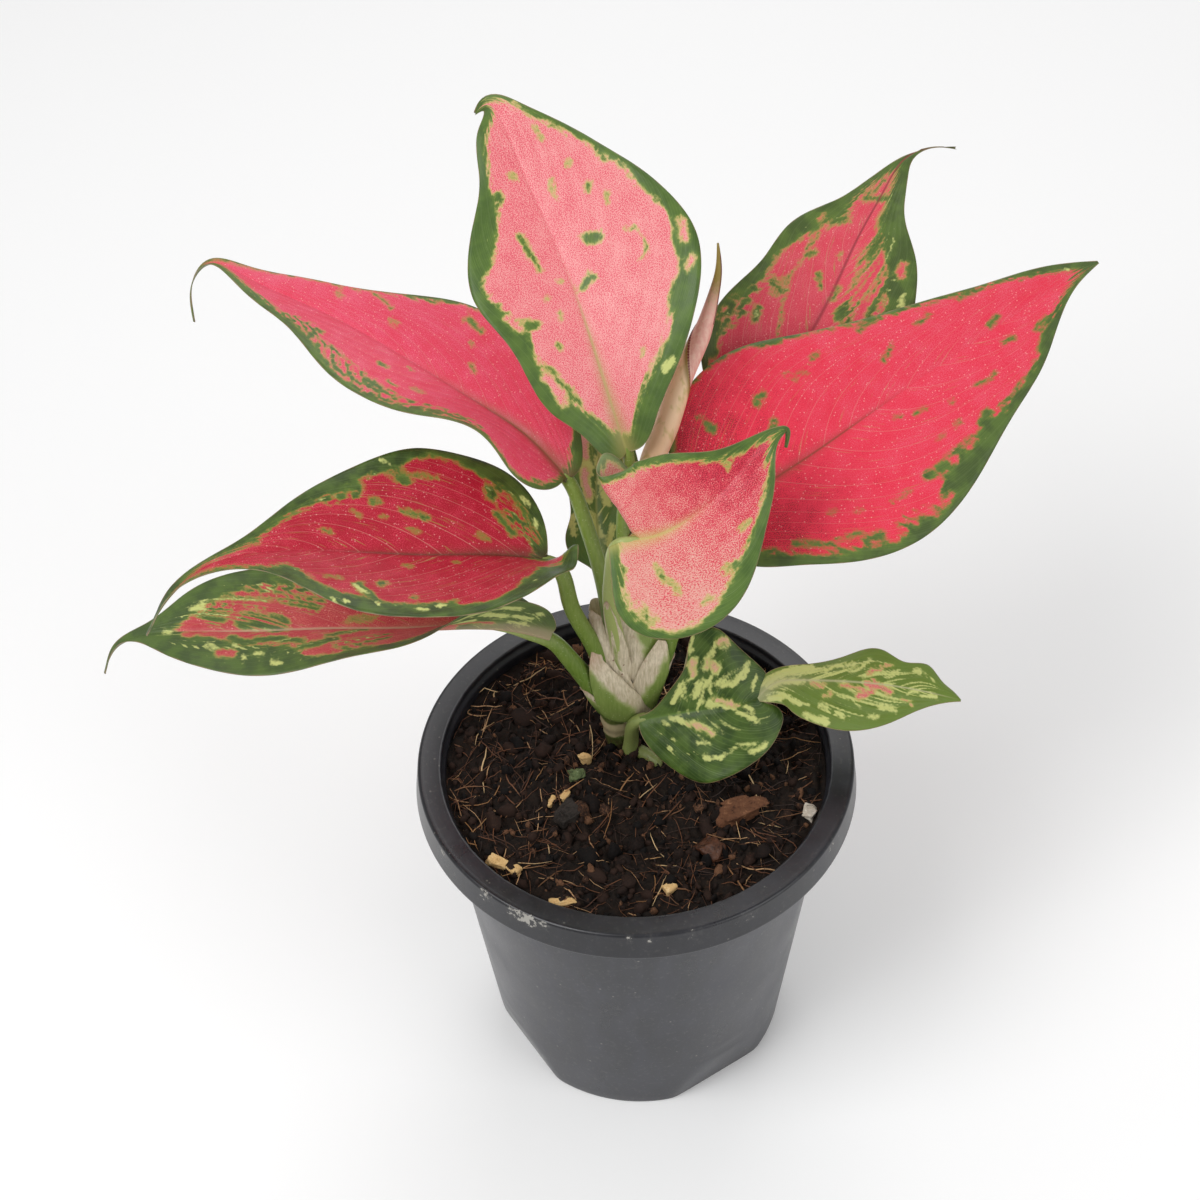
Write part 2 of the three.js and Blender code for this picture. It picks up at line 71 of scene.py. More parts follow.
# A blade is given as if pressed flat: each outline point is its distance along the rib, then its
# distance out from the rib. The rib is the blade's middle line as it stands in space, facing is the
# way that its upper side looks at the base and at the tip, roll turns it about the rib in degrees,
# and each half rises from the rib by its fold, in degrees at even steps from base to tip. A bend is
# a pressed place, its reach and the push that it gives. A corner, which is folded back, is a place
# on its line, the way across that line, the radius of its roll and its angle.
#
# A band is the width of the green margin at places along the rib. A mark is its kind, its radius and
# its two ends on the pressed blade, where the left half is negative: g is green, h only the pale
# halo of green, m mottled green, p flesh colour within green, and y a pale fleck. Tone runs from
# pink, 0, to red, 1, at even steps from base to tip, and lean adds to it towards the left margin. From
# 1.5 on, tone adds painted shade as dark red: at the base of leaf_right, which the front leaf shades,
# and faintly at the tip of leaf_front. The midrib loses its own colour at rib_end, a share of the
# length. Veins, fleck, grain and halo are the strengths of the side veins, of the flecks and green
# wisps, of the freckles and of the halo beside the green, haze is the halo's colour, and under is how
# far the lower side takes the duller colour of a leaf's back.
BLADES = {
    "leaf_top": dict(
        rib=[(0, 24, 256), (-4, 31, 268), (-12, 51, 289), (-21, 72, 305), (-32, 94, 322), (-40, 106, 330),
            (-44, 108, 326)],
        facing=[(0, -0.7, 0.75), (0, -0.55, 0.85)], roll=0,
        fold_left=[14, 10, 4], fold_right=[14, 10, 4],
        left=[(-1, 4), (10, 12), (19, 19), (40, 25), (60, 31), (83, 23), (97, 14), (113, 8), (120, 2)],
        right=[(0, 3), (9, 13), (21, 23), (36, 34), (47, 40), (56, 42), (71, 38), (89, 28), (105, 17),
            (115, 7)],
        band_left=[(0, 9), (10, 7), (18, 6), (30, 4.2), (40, 6), (48, 9), (55, 6), (60, 4.5), (66, 5),
            (70, 8), (80, 8), (88, 6.5), (94, 3), (102, 3.2), (110, 3), (118, 3)],
        band_right=[(0, 4), (8, 6), (18, 7), (27, 6.5), (35, 6), (41, 8.5), (46, 7.5), (50, 6), (56, 8),
            (62, 4.5), (75, 4.5), (82, 2.5), (92, 2), (98, 2.6), (103, 2.2), (108, 2.4), (114, 1.6),
            (120, 2)],
        marks=[("g", 0.8, 20, -10, 33, -16.5), ("g", 1.7, 46.5, -15.5, 46.5, -18.5),
            ("g", 1.0, 63, -8, 75.5, -9.5), ("g", 1.4, 89.5, -10.7, 90, -11),
            ("g", 0.7, 37, -10.5, 38.5, -10.8), ("g", 1.3, 53.5, 2.5, 55, 6.5),
            ("g", 1.6, 65.5, 12.5, 67, 10), ("g", 0.9, 81, 17, 81.4, 17.4), ("g", 0.3, 74, 20, 77, 21),
            ("g", 0.2, 55, 23, 57, 26), ("g", 0.2, 57, 26, 63, 25.5), ("g", 0.3, 63, 25.5, 65, 22),
            ("g", 1.4, 41, 28.5, 43, 29), ("g", 1.2, 17.5, 12, 18, 14), ("g", 0.8, 87.5, 25, 97, 23),
            ("h", 0.6, 83, 6, 88, 7), ("h", 0.6, 91, 14, 92, 14), ("h", 0.9, 94.5, -4, 95, -4),
            ("h", 0.5, 53, -9.5, 54, -9.5), ("h", 0.6, 57, -3, 58, -3), ("h", 0.5, 28, 14, 29, 15),
            ("h", 0.6, 103, 9, 106, 8.5), ("h", 0.5, 46, -7, 48, -6.5),
            ("p", 1.5, 21, -14.2, 29.5, -17.4), ("p", 1.3, 46.5, -20.5, 51.5, -22.5),
            ("p", 1.1, 49.7, -17, 50.3, -17), ("p", 2.2, 58, -22, 63, -24.5),
            ("p", 1.2, 47.5, 36.3, 50, 37.8), ("p", 1.5, 56, 38, 60, 38.5),
            ("y", 1.4, 22.3, 19.5, 23.3, 21.5), ("p", 0.6, 106, 13.3, 106.5, 13)],
        tone=[0.15, 0.2, 0.3, 0.45, 0.45], flesh="E89A98", deep="DA4A60", green="48602C", midrib="A8A060",
        rib_end=0.4, veins=0.2, fleck=0.0, vein="EDA9A0", grain=2.3, lean=0.12),
    "leaf_upper_left": dict(
        rib=[(-19, 22, 248), (-31, 32, 257), (-43, 42, 260), (-71, 64, 265), (-98, 82, 270),
            (-124, 96, 275), (-134, 100, 277), (-142, 100, 268), (-143, 98, 254)],
        facing=[(-0.2, -0.1, 1), (-0.2, 0, 1)], roll=-10,
        fold_left=[18, 34, 18, 14, 14, 8, 8], fold_right=[18, 16, 14, 11, 8],
        left=[(0, 6), (6, 17), (14, 22), (23, 22), (33, 26), (51, 29), (74, 28), (103, 18), (129, 7),
            (145, 2)],
        right=[(-1, 3), (5, 11), (17, 18), (39, 27), (62, 28), (86, 19), (102, 12), (117, 9), (137, 3)],
        band_left=[(0, 2.5), (12, 1.5), (20, 2), (28, 3), (40, 3), (60, 2), (85, 2.5), (95, 3.5),
            (110, 3), (125, 2.5), (140, 2), (170, 2)],
        band_right=[(0, 3), (6, 4), (12, 1), (30, 0.5), (50, 0.5), (56, 1.2), (64, 0.6), (72, 2), (79, 2),
            (84, 0.5), (120, 0.3), (145, 0.8), (170, 2)],
        marks=[("m", 3.5, 36, -22, 62, -25), ("m", 3.5, 60, -24, 92, -19), ("m", 3, 28, -20, 36, -24),
            ("g", 1.1, 95, -11, 97, -19), ("m", 2.5, 97, -13, 108, -13), ("g", 1.2, 64, -20.3, 69, -20.5),
            ("g", 0.4, 60, -16, 64, -15), ("g", 0.8, 69, -9.3, 72, -8.8), ("h", 0.8, 52, -13, 55, -13),
            ("g", 0.4, 46.5, 8.5, 49, 10), ("g", 0.5, 84, 13, 92, 14.5), ("g", 0.7, 54, 22, 61, 23),
            ("h", 0.7, 53, 16, 54, 16.5), ("h", 0.6, 78, 8.5, 81, 9), ("h", 0.6, 100, 8.5, 102, 9),
            ("h", 0.6, 63, -5, 64, -4.5), ("g", 1.2, 1, 4, 5, 9)],
        tone=[0.85, 0.8, 0.7, 0.7, 0.6], flesh="E2607A", deep="D83751", green="4A5C2E", midrib="7C5A3A",
        rib_end=0.25, veins=0.3, fleck=0.15, halo=0.55, haze="A89A50"),
    "leaf_middle_left": dict(
        rib=[(-26, 0, 234), (-43, -3, 240), (-63, -6, 244), (-89, -9, 250), (-110, -12, 254),
            (-124, -14, 253), (-140, -14, 241), (-153, -12, 219)],
        facing=[(-0.1, -0.1, 1), (-0.2, -0.1, 1)], roll=0,
        fold_left=[38, 18, 16, 8], fold_right=[17, 17, 8],
        left=[(-9, 8), (3, 22), (14, 33), (25, 38), (38, 37), (55, 33), (73, 25), (90, 11), (106, 4),
            (125, 2)],
        right=[(0, 9), (3, 19), (8, 26), (24, 35), (40, 37), (61, 29.5), (79, 17), (96, 5), (111, 2.5),
            (130, 1.5)],
        band_left=[(-9, 3), (0, 6), (8, 9), (15, 7), (22, 5), (28, 4.5), (33, 8), (40, 7), (50, 5.5),
            (58, 7), (66, 5), (75, 5.5), (82, 6.5), (88, 2.5), (95, 1), (120, 1), (150, 2)],
        band_right=[(0, 2), (5, 5), (12, 6), (20, 6), (26, 3.5), (35, 3), (42, 4), (50, 6), (58, 5),
            (66, 6), (74, 4.5), (82, 3), (90, 3), (98, 2.5), (108, 1.5), (120, 2.5), (150, 3)],
        marks=[("p", 2.6, 27, -29, 31, -31), ("g", 1.5, 58.5, -24, 61.5, -18),
            ("g", 1.2, 53.5, -17.5, 54.5, -17.5), ("y", 1.2, 61, -21, 62.5, -19.5),
            ("y", 0.9, 38, -30.5, 39, -31.5), ("y", 0.8, 42.5, -32, 45, -31),
            ("y", 0.8, 56, -28, 57, -27), ("y", 0.9, 66, -26, 67, -25.5), ("y", 0.7, 70, -26, 71, -25),
            ("g", 1.4, 79, -15, 84, -12.5), ("g", 0.5, 67, -15.5, 72, -15),
            ("h", 0.7, 30, -6.5, 31, -5.5), ("h", 0.7, 45, -8, 46, -6.5), ("g", 0.6, 45, -25, 46, -25),
            ("g", 0.8, 49, -28, 55, -28), ("g", 1.1, 11.5, 8, 16, 14), ("g", 1.7, 17, 20.5, 18, 22.5),
            ("g", 0.9, 38.5, 12.5, 47, 15), ("g", 0.5, 51, 11.5, 53, 12), ("g", 0.9, 53.5, 17, 56, 17.5),
            ("g", 1.6, 44, 25, 46.5, 26), ("g", 0.6, 33, 26.8, 60, 28.5), ("g", 0.5, 68, 6, 71, 6.5),
            ("g", 1.1, 91, 4, 95, 4.5), ("m", 2.6, 62, 21, 72, 19), ("h", 0.7, 60, 12, 62, 13),
            ("h", 0.8, 42, 7.5, 44, 8.5), ("y", 0.7, 3, 11, 3.5, 13), ("y", 0.8, 6, 19, 7, 21),
            ("y", 0.6, 50, 31, 52, 31.5), ("m", 2.4, 8, 10, 14, 22), ("h", 0.6, 20, 5, 22, 7)],
        tone=[1.1, 1.0, 1.0, 0.8, 0.75], flesh="D24055", deep="A6162B", green="35451F", midrib="4E3A22",
        bends=[(-10, -9, 7, (-1.5, 2, 9))], rib_end=0.42, veins=0.4, fleck=0.5, halo=0.6, haze="8E8F3C"),
    "leaf_lower_left": dict(
        rib=[(-27, 2, 197), (-36, 1, 202), (-49, 0, 205), (-75, -2, 207), (-97, -2, 208), (-126, 0, 206),
            (-156, 4, 202), (-168, 6, 195), (-175, 6, 182)],
        facing=[(-0.1, -0.1, 1), (-0.2, -0.1, 1)], roll=0,
        fold_left=[84, 74, 47, 30, 14, 11, 16, 12, 8], fold_right=[10, 10, 8],
        left=[(0, 3), (3, 9), (9, 15.5), (21, 20.5), (40, 21), (60, 21), (80, 20), (98, 20), (112, 17),
            (124, 10.5), (136, 3)],
        right=[(0, 4), (5, 9), (20, 15), (43, 20), (74, 24), (104, 22), (121, 15), (133, 5), (146, 1.5)],
        band_left=[(0, 40), (26, 40), (34, 9), (42, 4), (50, 4), (60, 6), (70, 5), (78, 6), (84, 12),
            (92, 13), (100, 13), (110, 14), (120, 13), (135, 8), (160, 3)],
        band_right=[(0, 3), (40, 4), (70, 4), (90, 5), (104, 7), (112, 8), (122, 9), (140, 6), (160, 3)],
        marks=[("p", 1.7, 102, -10.5, 106, -10.5), ("p", 1.4, 107, -1, 120, -1.8),
            ("g", 1.6, 70, -7, 80, -9), ("g", 1.3, 80, -6, 95, -4), ("g", 1.5, 96, -6, 104, -3.5),
            ("m", 3, 96, 12, 108, 16), ("g", 1.0, 72, -4, 60, -1), ("m", 3, 78, 10, 98, 19),
            ("m", 4, 110, 7, 119, 13), ("y", 1.0, 86, -15.5, 88, -15), ("y", 0.8, 92, -11, 94, -10.5),
            ("y", 0.9, 97, -12.5, 98, -12), ("y", 0.8, 109, -7.5, 110, -7), ("y", 0.9, 108, -9, 109, -9),
            ("y", 1.0, 125, -1, 127, 0), ("y", 0.7, 101, -7, 102, -6.5), ("m", 2.5, 56, -9, 66, -12),
            ("h", 0.8, 58, 4, 66, 3), ("m", 2, 88, 2, 100, 4), ("y", 1.2, 114, 9, 118, 8),
            ("y", 1.0, 92, 14, 95, 17), ("y", 1.3, 10, -7, 13, -8), ("y", 1.5, 17, -8, 24, -11),
            ("y", 1.2, 14, -13, 18, -15), ("y", 1.0, 11, -3, 15, -4), ("y", 1.4, 27, -7, 34, -9),
            ("p", 1.3, 20, -3, 36, -5), ("y", 1.4, 24, -15, 32, -17), ("y", 0.8, 7, -10, 9, -11),
            ("y", 1.0, 35, -13, 39, -13)],
        tone=[0.5, 0.6, 0.75, 0.8, 0.75], flesh="CF6A60", deep="B43540", green="44562E", midrib="BCA284",
        under=0.3, rib_end=0.7, veins=0.35, fleck=0.7, halo=0.7, haze="9AA04E"),
    "leaf_front": dict(
        rib=[(-2, -4, 245), (6, -3, 245), (21, 2, 250), (34, 9, 260), (46, 16, 270), (49, 18, 269),
            (49, 17, 262)],
        facing=[(0, -0.7, 0.7), (0, -0.7, 0.7)], roll=0,
        fold_left=[8, 8, 8], fold_right=[8, 8, 8],
        left=[(-4, 3), (-11, 6), (-16, 11), (-18, 17), (-16, 23), (-9, 24), (-1, 24), (10, 24),
            (29, 20.5), (47, 8), (58, 2)],
        right=[(-5, 6), (-5, 14), (-4, 22), (3, 30), (11, 33), (22, 29), (37, 17), (50, 9), (59, 3)],
        band_left=[(-8, 2), (10, 2.2), (20, 2.5), (28, 3.2), (38, 3.2), (44, 3.5), (50, 3), (60, 2)],
        band_right=[(-5, 3), (0, 3.5), (6, 2.8), (12, 3), (18, 4.5), (25, 4.5), (32, 3.5), (40, 3.5),
            (48, 2.5), (60, 2)],
        marks=[("g", 0.6, 41, -8, 46, -6), ("g", 0.5, -1.5, 8, -2, 14), ("h", 0.8, 8, 9, 9, 14),
            ("h", 0.8, 9.5, 14, 11, 19), ("g", 0.4, 8, 11, 8.5, 13), ("h", 1.0, 2, 23, 5, 26),
            ("g", 0.5, 3, 21, 4, 25), ("h", 0.9, 22, 19, 24, 21), ("p", 1.1, 10, 29.5, 12, 29.8),
            ("g", 0.8, 24, 20, 26, 21), ("h", 0.7, 31, 12, 33, 13), ("g", 0.4, 14, 25, 16, 24),
            ("h", 0.8, -1, 17, 0, 20), ("h", 0.7, 42, -4, 44, -4)],
        tone=[0.35, 0.55, 1.1, 1.6, 1.85, 1.8], flesh="DFA598", deep="D2324A", green="46602A",
        midrib="C0B66A", rib_end=0.3, veins=0.3, fleck=0.0, corner=((-3.4, -20), (-0.9, 0.435), 2.0, 150),
        vein="DC5265", grain=1.8, lean=0.42, bends=[(-6, -21, 10, (0.5, -1, -4.5))]),
    "leaf_right": dict(
        rib=[(24, 20, 230), (50, 32, 237), (76, 46, 246), (105, 62, 256), (134, 78, 265), (157, 90, 272)],
        facing=[(0.1, -0.7, 0.7), (0.1, -0.6, 0.7)], roll=10,
        fold_left=[10, 8, 4], fold_right=[10, 8, 4],
        left=[(-7, 8), (0, 24), (10, 36), (26, 42), (44, 41), (61, 34), (79, 27), (98, 21), (117, 15),
            (138, 9)],
        right=[(-3, 9), (6, 22), (18, 29), (33, 38), (54, 43.5), (76, 39), (100, 28), (121, 18.5),
            (145, 3.2)],
        band_left=[(0, 2), (15, 1), (25, 0.6), (44, 0.6), (50, 2.2), (57, 1.2), (70, 0.5), (90, 1.2),
            (100, 1), (112, 1), (125, 0.8), (132, 2), (145, 3), (156, 3)],
        band_right=[(0, 3), (12, 5), (20, 4), (32, 3.5), (42, 2.8), (50, 4), (56, 5), (62, 4), (67, 8),
            (75, 10), (85, 8), (92, 7), (100, 3.5), (110, 3.5), (120, 3), (127, 4.5), (133, 3), (145, 2),
            (156, 2)],
        marks=[("g", 1.3, 16, -25, 17, -24), ("g", 1.1, 34, -23.5, 38, -25),
            ("g", 1.1, 34, -13.5, 36, -15.5), ("g", 0.8, 59, -25.5, 61, -25.7),
            ("h", 0.5, 50, -23, 55, -23), ("g", 1.0, 77.5, -24.3, 83.5, -24.3),
            ("g", 0.6, 78, -12.5, 83, -14.8), ("g", 0.7, 94, -15.5, 99, -15.5),
            ("g", 0.8, 114, -1.5, 117, -2.8), ("g", 0.7, 114, 5.5, 117.5, 5.6), ("g", 0.6, 76, 9, 79, 9),
            ("g", 0.5, 69.5, 5.5, 71.5, 6.3), ("g", 0.8, 20, 22, 30, 28), ("g", 0.8, 30, 28, 39, 31),
            ("m", 3, 10, 23, 18, 27), ("g", 1.5, 66, 28, 74, 28.5), ("g", 0.9, 74, 26.5, 86, 26),
            ("g", 1.6, 77, 30.5, 86, 29.5), ("g", 1.8, 91, 24.5, 95.5, 22),
            ("p", 1.0, 75.5, 28.5, 77, 28.6), ("p", 0.9, 83.5, 28, 85.5, 27.6),
            ("g", 1.1, 41.5, 33.5, 43, 35), ("h", 0.6, 52, 28, 58, 28.5), ("h", 0.7, 84, 19.5, 86, 19),
            ("h", 0.7, 76, 20, 79, 19.3), ("p", 1.3, 60.5, 39.3, 68, 38), ("g", 0.8, 125, 8, 130, 7),
            ("m", 2.5, 30, 33, 40, 37), ("g", 0.5, 97, 12.7, 105, 12.9), ("h", 0.5, 87, 12, 89, 12.5),
            ("g", 0.4, 48, -26.5, 50, -27), ("g", 0.7, 110, -14.5, 117, -14),
            ("y", 1.0, 143, -3, 145, -2.5), ("g", 0.6, 14, -29, 15, -28.7), ("h", 0.5, 34, 19.5, 36, 20),
            ("g", 0.6, 133, -9.3, 136, -8.6), ("m", 2.5, 52, 37, 62, 41), ("g", 0.3, 40, 23, 43, 25),
            ("g", 0.5, 100, 22.5, 110, 20.5)],
        # The base's tone of 2.3 paints the shade that the front leaf casts there as dark red.
        tone=[2.3, 1.2, 0.75, 0.75, 0.75], flesh="E2586C", deep="DE2C46", green="45562C", midrib="6A4326",
        rib_end=0.42, veins=0.28, fleck=0.25, halo=0.5, haze="8C7A3C"),
    "leaf_upper_right": dict(
        rib=[(45, 52, 240), (55, 66, 251), (70, 88, 265), (80, 104, 276), (89, 116, 285), (96, 124, 291),
            (105, 130, 291), (115, 136, 286)],
        facing=[(0.1, -0.6, 0.7), (0.1, -0.6, 0.7)], roll=5,
        fold_left=[10, 8, 4], fold_right=[10, 8, 4],
        left=[(-3, 6), (2, 21), (11, 29), (30, 31), (48, 26), (66, 22), (79, 12), (90, 6.5), (101, 1.5)],
        right=[(1, 10), (16, 25), (40, 30), (59, 26), (75, 19), (85, 10), (97, 5), (106, 1.5)],
        band_left=[(0, 3), (10, 3), (15, 5), (25, 5), (35, 4.5), (45, 4), (52, 3), (60, 6), (68, 7),
            (75, 6), (82, 3), (90, 2), (100, 3), (126, 2)],
        band_right=[(0, 3), (30, 4), (45, 6), (52, 9), (60, 10), (70, 10), (78, 9), (85, 6), (95, 4),
            (105, 3), (126, 2)],
        marks=[("p", 0.9, 23, -28.5, 27, -29), ("p", 0.8, 31, -28.5, 34, -28.3),
            ("g", 1.5, 13, -26.5, 14, -25.5), ("g", 1.4, 29, -19, 32, -19), ("y", 0.6, 30, -19, 31, -19),
            ("g", 1.3, 42, -15.5, 43.5, -19), ("h", 1.4, 40, -17, 46, -15.5), ("g", 0.3, 28, -9, 38, -13),
            ("g", 0.3, 38, -13, 48, -15), ("g", 0.3, 48, -15, 60, -14), ("g", 0.3, 60, -14, 75, -11.5),
            ("g", 0.9, 57.5, -13, 59, -11), ("p", 0.9, 70, -13.5, 72, -13), ("g", 0.9, 50, -5, 54, -6.5),
            ("g", 1.1, 73.5, -8.5, 74.5, -6.5), ("g", 0.6, 48, 0.8, 53, 1.2), ("m", 2, 44, 6.5, 56, 8),
            ("m", 2, 56, 7.5, 84, 5.8), ("g", 0.9, 84, -4, 87, 2), ("m", 4, 50, 18, 62, 16),
            ("p", 1.7, 65, 18.5, 68.5, 17.3), ("y", 0.9, 55, 22, 58, 22), ("g", 1.0, 66, 7, 78, 6),
            ("m", 2.5, 22, -26.5, 52, -24.5), ("h", 0.5, 62, -2.5, 64, -3), ("g", 0.5, 84, -4, 92, -2.2),
            ("m", 2, 62, 9, 80, 10)],
        tone=[0.8, 0.75, 0.7, 0.7, 0.6], flesh="D9606A", deep="D23C50", green="45562A", midrib="8A3038",
        rib_end=0.9, veins=0.4, fleck=0.6, halo=0.6, haze="9AA04E"),
    "leaf_low_inner": dict(
        rib=[(2, 0, 155), (19, -2, 161), (35, -2, 164), (43, 1, 164)],
        facing=[(0, -0.77, 0.64), (0, -0.7, 0.7)], roll=0,
        fold_left=[4, 4], fold_right=[4, 4],
        left=[(3, 2), (12, 8), (19.5, 17), (23, 26), (31, 27), (40, 18.5), (45.5, 10), (47, 5),
            (44, 1.5)],
        right=[(-1, 3), (1, 10), (8, 19), (18, 24.5), (27, 23.5), (36, 19.5), (45, 13), (48, 8), (46, 4),
            (43, 1.5)],
        band_left=[(0, 60), (50, 60)],
        band_right=[(0, 60), (50, 60)],
        marks=[("y", 0.9, 20.5, -13, 22.5, -17.5), ("p", 0.8, 20.5, -13, 22, -17),
            ("y", 1.1, 25, -14, 27, -17), ("p", 0.8, 25.5, -14.5, 26.7, -16.5),
            ("y", 1.5, 30, -12.5, 28.5, -14), ("p", 1.0, 29.5, -13, 28, -14.2),
            ("p", 1.2, 31.5, -22, 36, -21.5), ("y", 0.5, 31, -20, 35, -19.5),
            ("y", 0.7, 22, -20, 22.5, -25), ("y", 0.9, 11, 1, 24, 7), ("p", 0.7, 17, 4, 25, 8),
            ("y", 1.0, 24, -2, 33, 0.5), ("p", 0.8, 27, -3, 34, 0), ("y", 0.8, 31, -6.5, 38, -8),
            ("y", 0.7, 21, -2, 25, -9), ("y", 0.6, 16, -5, 20, -12), ("y", 0.7, 26, -5, 27, -11),
            ("y", 1.0, 21, 15.5, 26, 16.5), ("y", 0.7, 35, 16, 39, 14.8), ("y", 0.6, 27, 16, 28, 15.5),
            ("y", 0.8, 36, 2, 39, 8), ("y", 0.6, 33, 3, 37, 6), ("y", 0.7, 19, 10.5, 23, 11.5),
            ("y", 0.5, 30, 15, 31, 14.5), ("y", 0.6, 38, -9, 42, -12), ("y", 0.6, 40, -3, 43, -6),
            ("y", 1.0, 13, -4, 18, -10), ("y", 1.2, 20, -5, 23, -9), ("y", 1.0, 28, -18, 30, -21)],
        tone=[0, 0], flesh="D9A78C", deep="C98874", green="2F4612", midrib="5F7A35", rib_end=0.5,
        veins=0.3, fleck=0.6),
    "leaf_low_outer": dict(
        rib=[(41, 0, 164), (47, 3, 168), (56, 5, 167), (73, 7, 163), (94, 9, 156), (112, 9, 149)],
        facing=[(0, -0.6, 0.8), (0, -0.6, 0.8)], roll=0,
        fold_left=[-30, -30], fold_right=[10, 8],
        left=[(5, 4), (10, 5), (23, 7), (37, 11.5), (49, 14), (56, 10.5), (65, 11.5), (70, 6), (74, 3)],
        right=[(3, 5), (16, 13), (34, 17), (49, 13.5), (61, 7), (73, 1.5)],
        band_left=[(0, 60), (80, 60)],
        band_right=[(0, 60), (80, 60)],
        marks=[("p", 1.1, 32, 1.5, 41, 3.5), ("p", 1.3, 38, 5, 42, 3), ("p", 1.1, 41, 0.5, 50, 2.5),
            ("p", 0.9, 43, -2, 44, 1), ("p", 0.7, 42, -4, 51, -8.5), ("p", 0.6, 25, 6, 28, 4.5),
            ("p", 0.5, 21, 1.8, 26, 1.8), ("p", 0.5, 55, 4.5, 58, 5), ("y", 0.7, 30, 10.5, 32, 12.5),
            ("y", 0.7, 42, 11.5, 45, 11), ("y", 0.8, 17.5, 8, 19.5, 8.7), ("y", 0.5, 36, 7, 38, 9),
            ("y", 1.0, 60, -7.5, 62, -8.5), ("y", 0.6, 65, -6, 66, -5), ("y", 0.7, 24, 8.5, 26, 9.5),
            ("y", 0.6, 36, -4, 44, -9), ("y", 0.8, 20, -3, 38, -8), ("y", 0.6, 14, -2, 28, -3.5),
            ("y", 0.6, 48, -3, 54, -6), ("y", 1.3, 3, 3, 16, 8), ("y", 0.8, 57, 1, 60, 0.5),
            ("y", 1.5, 5, -2, 22, -4.5), ("y", 1.2, 18, 12, 26, 14), ("y", 1.1, 6, 0, 18, 1),
            ("y", 1.0, 46, 8, 52, 8.5), ("y", 0.9, 62, 2, 67, 1)],
        tone=[0.4, 0.6], flesh="DC8C80", deep="CE5C5C", green="657A2E", midrib="B9B78A", rib_end=0.9,
        veins=0.35, fleck=1.25),
    "leaf_back": dict(
        rib=[(-9, 22, 203), (-10, 34, 212), (-10, 46, 221), (-8, 58, 230), (-6, 68, 237)],
        facing=[(0.1, -0.5, 0.8), (0.1, -0.4, 0.9)], roll=0,
        fold_left=[8, 8], fold_right=[8, 8],
        left=[(3, 4), (8, 10), (14, 11), (20, 9), (30, 10), (43, 9), (53, 5)],
        right=[(3, 5), (14, 12), (26, 15), (43, 12), (54, 5)],
        band_left=[(0, 60), (60, 60)],
        band_right=[(0, 60), (60, 60)],
        marks=[("p", 1.9, 45, -6, 39, -4.5), ("p", 1.8, 34, -4, 27, -3), ("y", 2.2, 36, -3.5, 26, -3),
            ("y", 1.5, 34, 2, 24, 4), ("y", 1.4, 21, -3, 14, 1), ("y", 1.5, 38, 0, 47, 1),
            ("y", 1.2, 16, 5, 11, 3), ("y", 1.1, 14, -9, 20, -8), ("y", 1.0, 30, 8, 40, 9)],
        tone=[0.3, 0.3], flesh="DDA79A", deep="C98078", green="577540", midrib="8E9A5A", rib_end=0.9,
        veins=0.3, fleck=0.75),
}

# What a blade's skin has where its own table says nothing, and the start value of a group's colours.
USUAL_SKIN = dict(Vein="D79A88", Grain=1.2, Halo=0.75, Haze="B4BC62")
WHITE = (1.0, 1.0, 1.0, 1.0)

# Stalks, from the foot to the blade, with their radii at even steps, and how far they take the pale
# colour all along. A sheath is the lower part of a stalk, which wraps the stem: its lowest and
# highest places, how far round its two wings go at its foot and at its top, in degrees, and the
# radius of its arc at the foot.
STALKS = {
    "leaf_top": dict(
        path=[(0, 15, 165), (0, 17, 190), (-1, 21, 240), (0, 24, 256)],
        radii=[3, 2.6, 2, 1.8],
        sheath=dict(low=158, top=214, wings=(90, 90), ends=(40, 40), radius=3.4)),
    "leaf_upper_left": dict(
        path=[(-6, 15, 165), (-8, 14, 200), (-11, 16, 219), (-15, 19, 236), (-19, 22, 248)],
        radii=[3.2, 2.6, 2.5, 2.4, 2.2],
        sheath=dict(low=150, top=189, wings=(120, 110), ends=(60, 55), radius=5.2)),
    "leaf_middle_left": dict(
        path=[(-5, 12, 145), (-9.4, 9, 171), (-14.8, 7, 191), (-20, 4, 211), (-26, 0, 234)],
        radii=[4, 3, 2.8, 2.7, 2.4],
        sheath=dict(low=146, top=181, wings=(120, 128), ends=(60, 48), radius=6.0)),
    "leaf_lower_left": dict(
        path=[(-5.2, 12.8, 147.5), (-8, 8.5, 153), (-14, 6, 167), (-22, 4, 185), (-27, 2, 197)],
        radii=[4, 4.4, 3.4, 2.9, 2.6],
        sheath=dict(low=148.5, top=168, wings=(130, 135), ends=(70, 62), radius=6.8)),
    "leaf_front": dict(
        path=[(-4, 10, 160), (-5, 8, 187), (-7, 5, 209), (-6, 1, 231), (-2, -4, 245)],
        radii=[3, 2.6, 2.4, 2.2, 1.5], pale=0.9,
        sheath=dict(low=150, top=212, wings=(100, 100), ends=(50, 50), radius=4.2)),
    "leaf_right": dict(
        path=[(1, 12, 142), (8, 12, 162), (12.5, 12, 182), (18, 16, 206), (24, 20, 230)],
        radii=[4, 3.2, 2.9, 2.7, 2.4],
        sheath=dict(low=146, top=176, wings=(120, 120), ends=(55, 60), radius=6.4)),
    "leaf_upper_right": dict(
        path=[(3, 18, 158), (10, 24, 185), (28, 40, 222), (45, 52, 240)],
        radii=[3, 2.6, 2.3, 2],
        sheath=dict(low=150, top=186, wings=(100, 100), ends=(50, 50), radius=4.6)),
    "leaf_low": dict(
        path=[(-2, 8, 128), (-1, 6, 140), (2, 0.5, 155)],
        radii=[2.7, 2.5, 2.2], pale=0.6),
    "leaf_back": dict(
        path=[(-6, 18, 150), (-8, 20, 180), (-9, 22, 203)],
        radii=[2.6, 2.2, 2]),
}

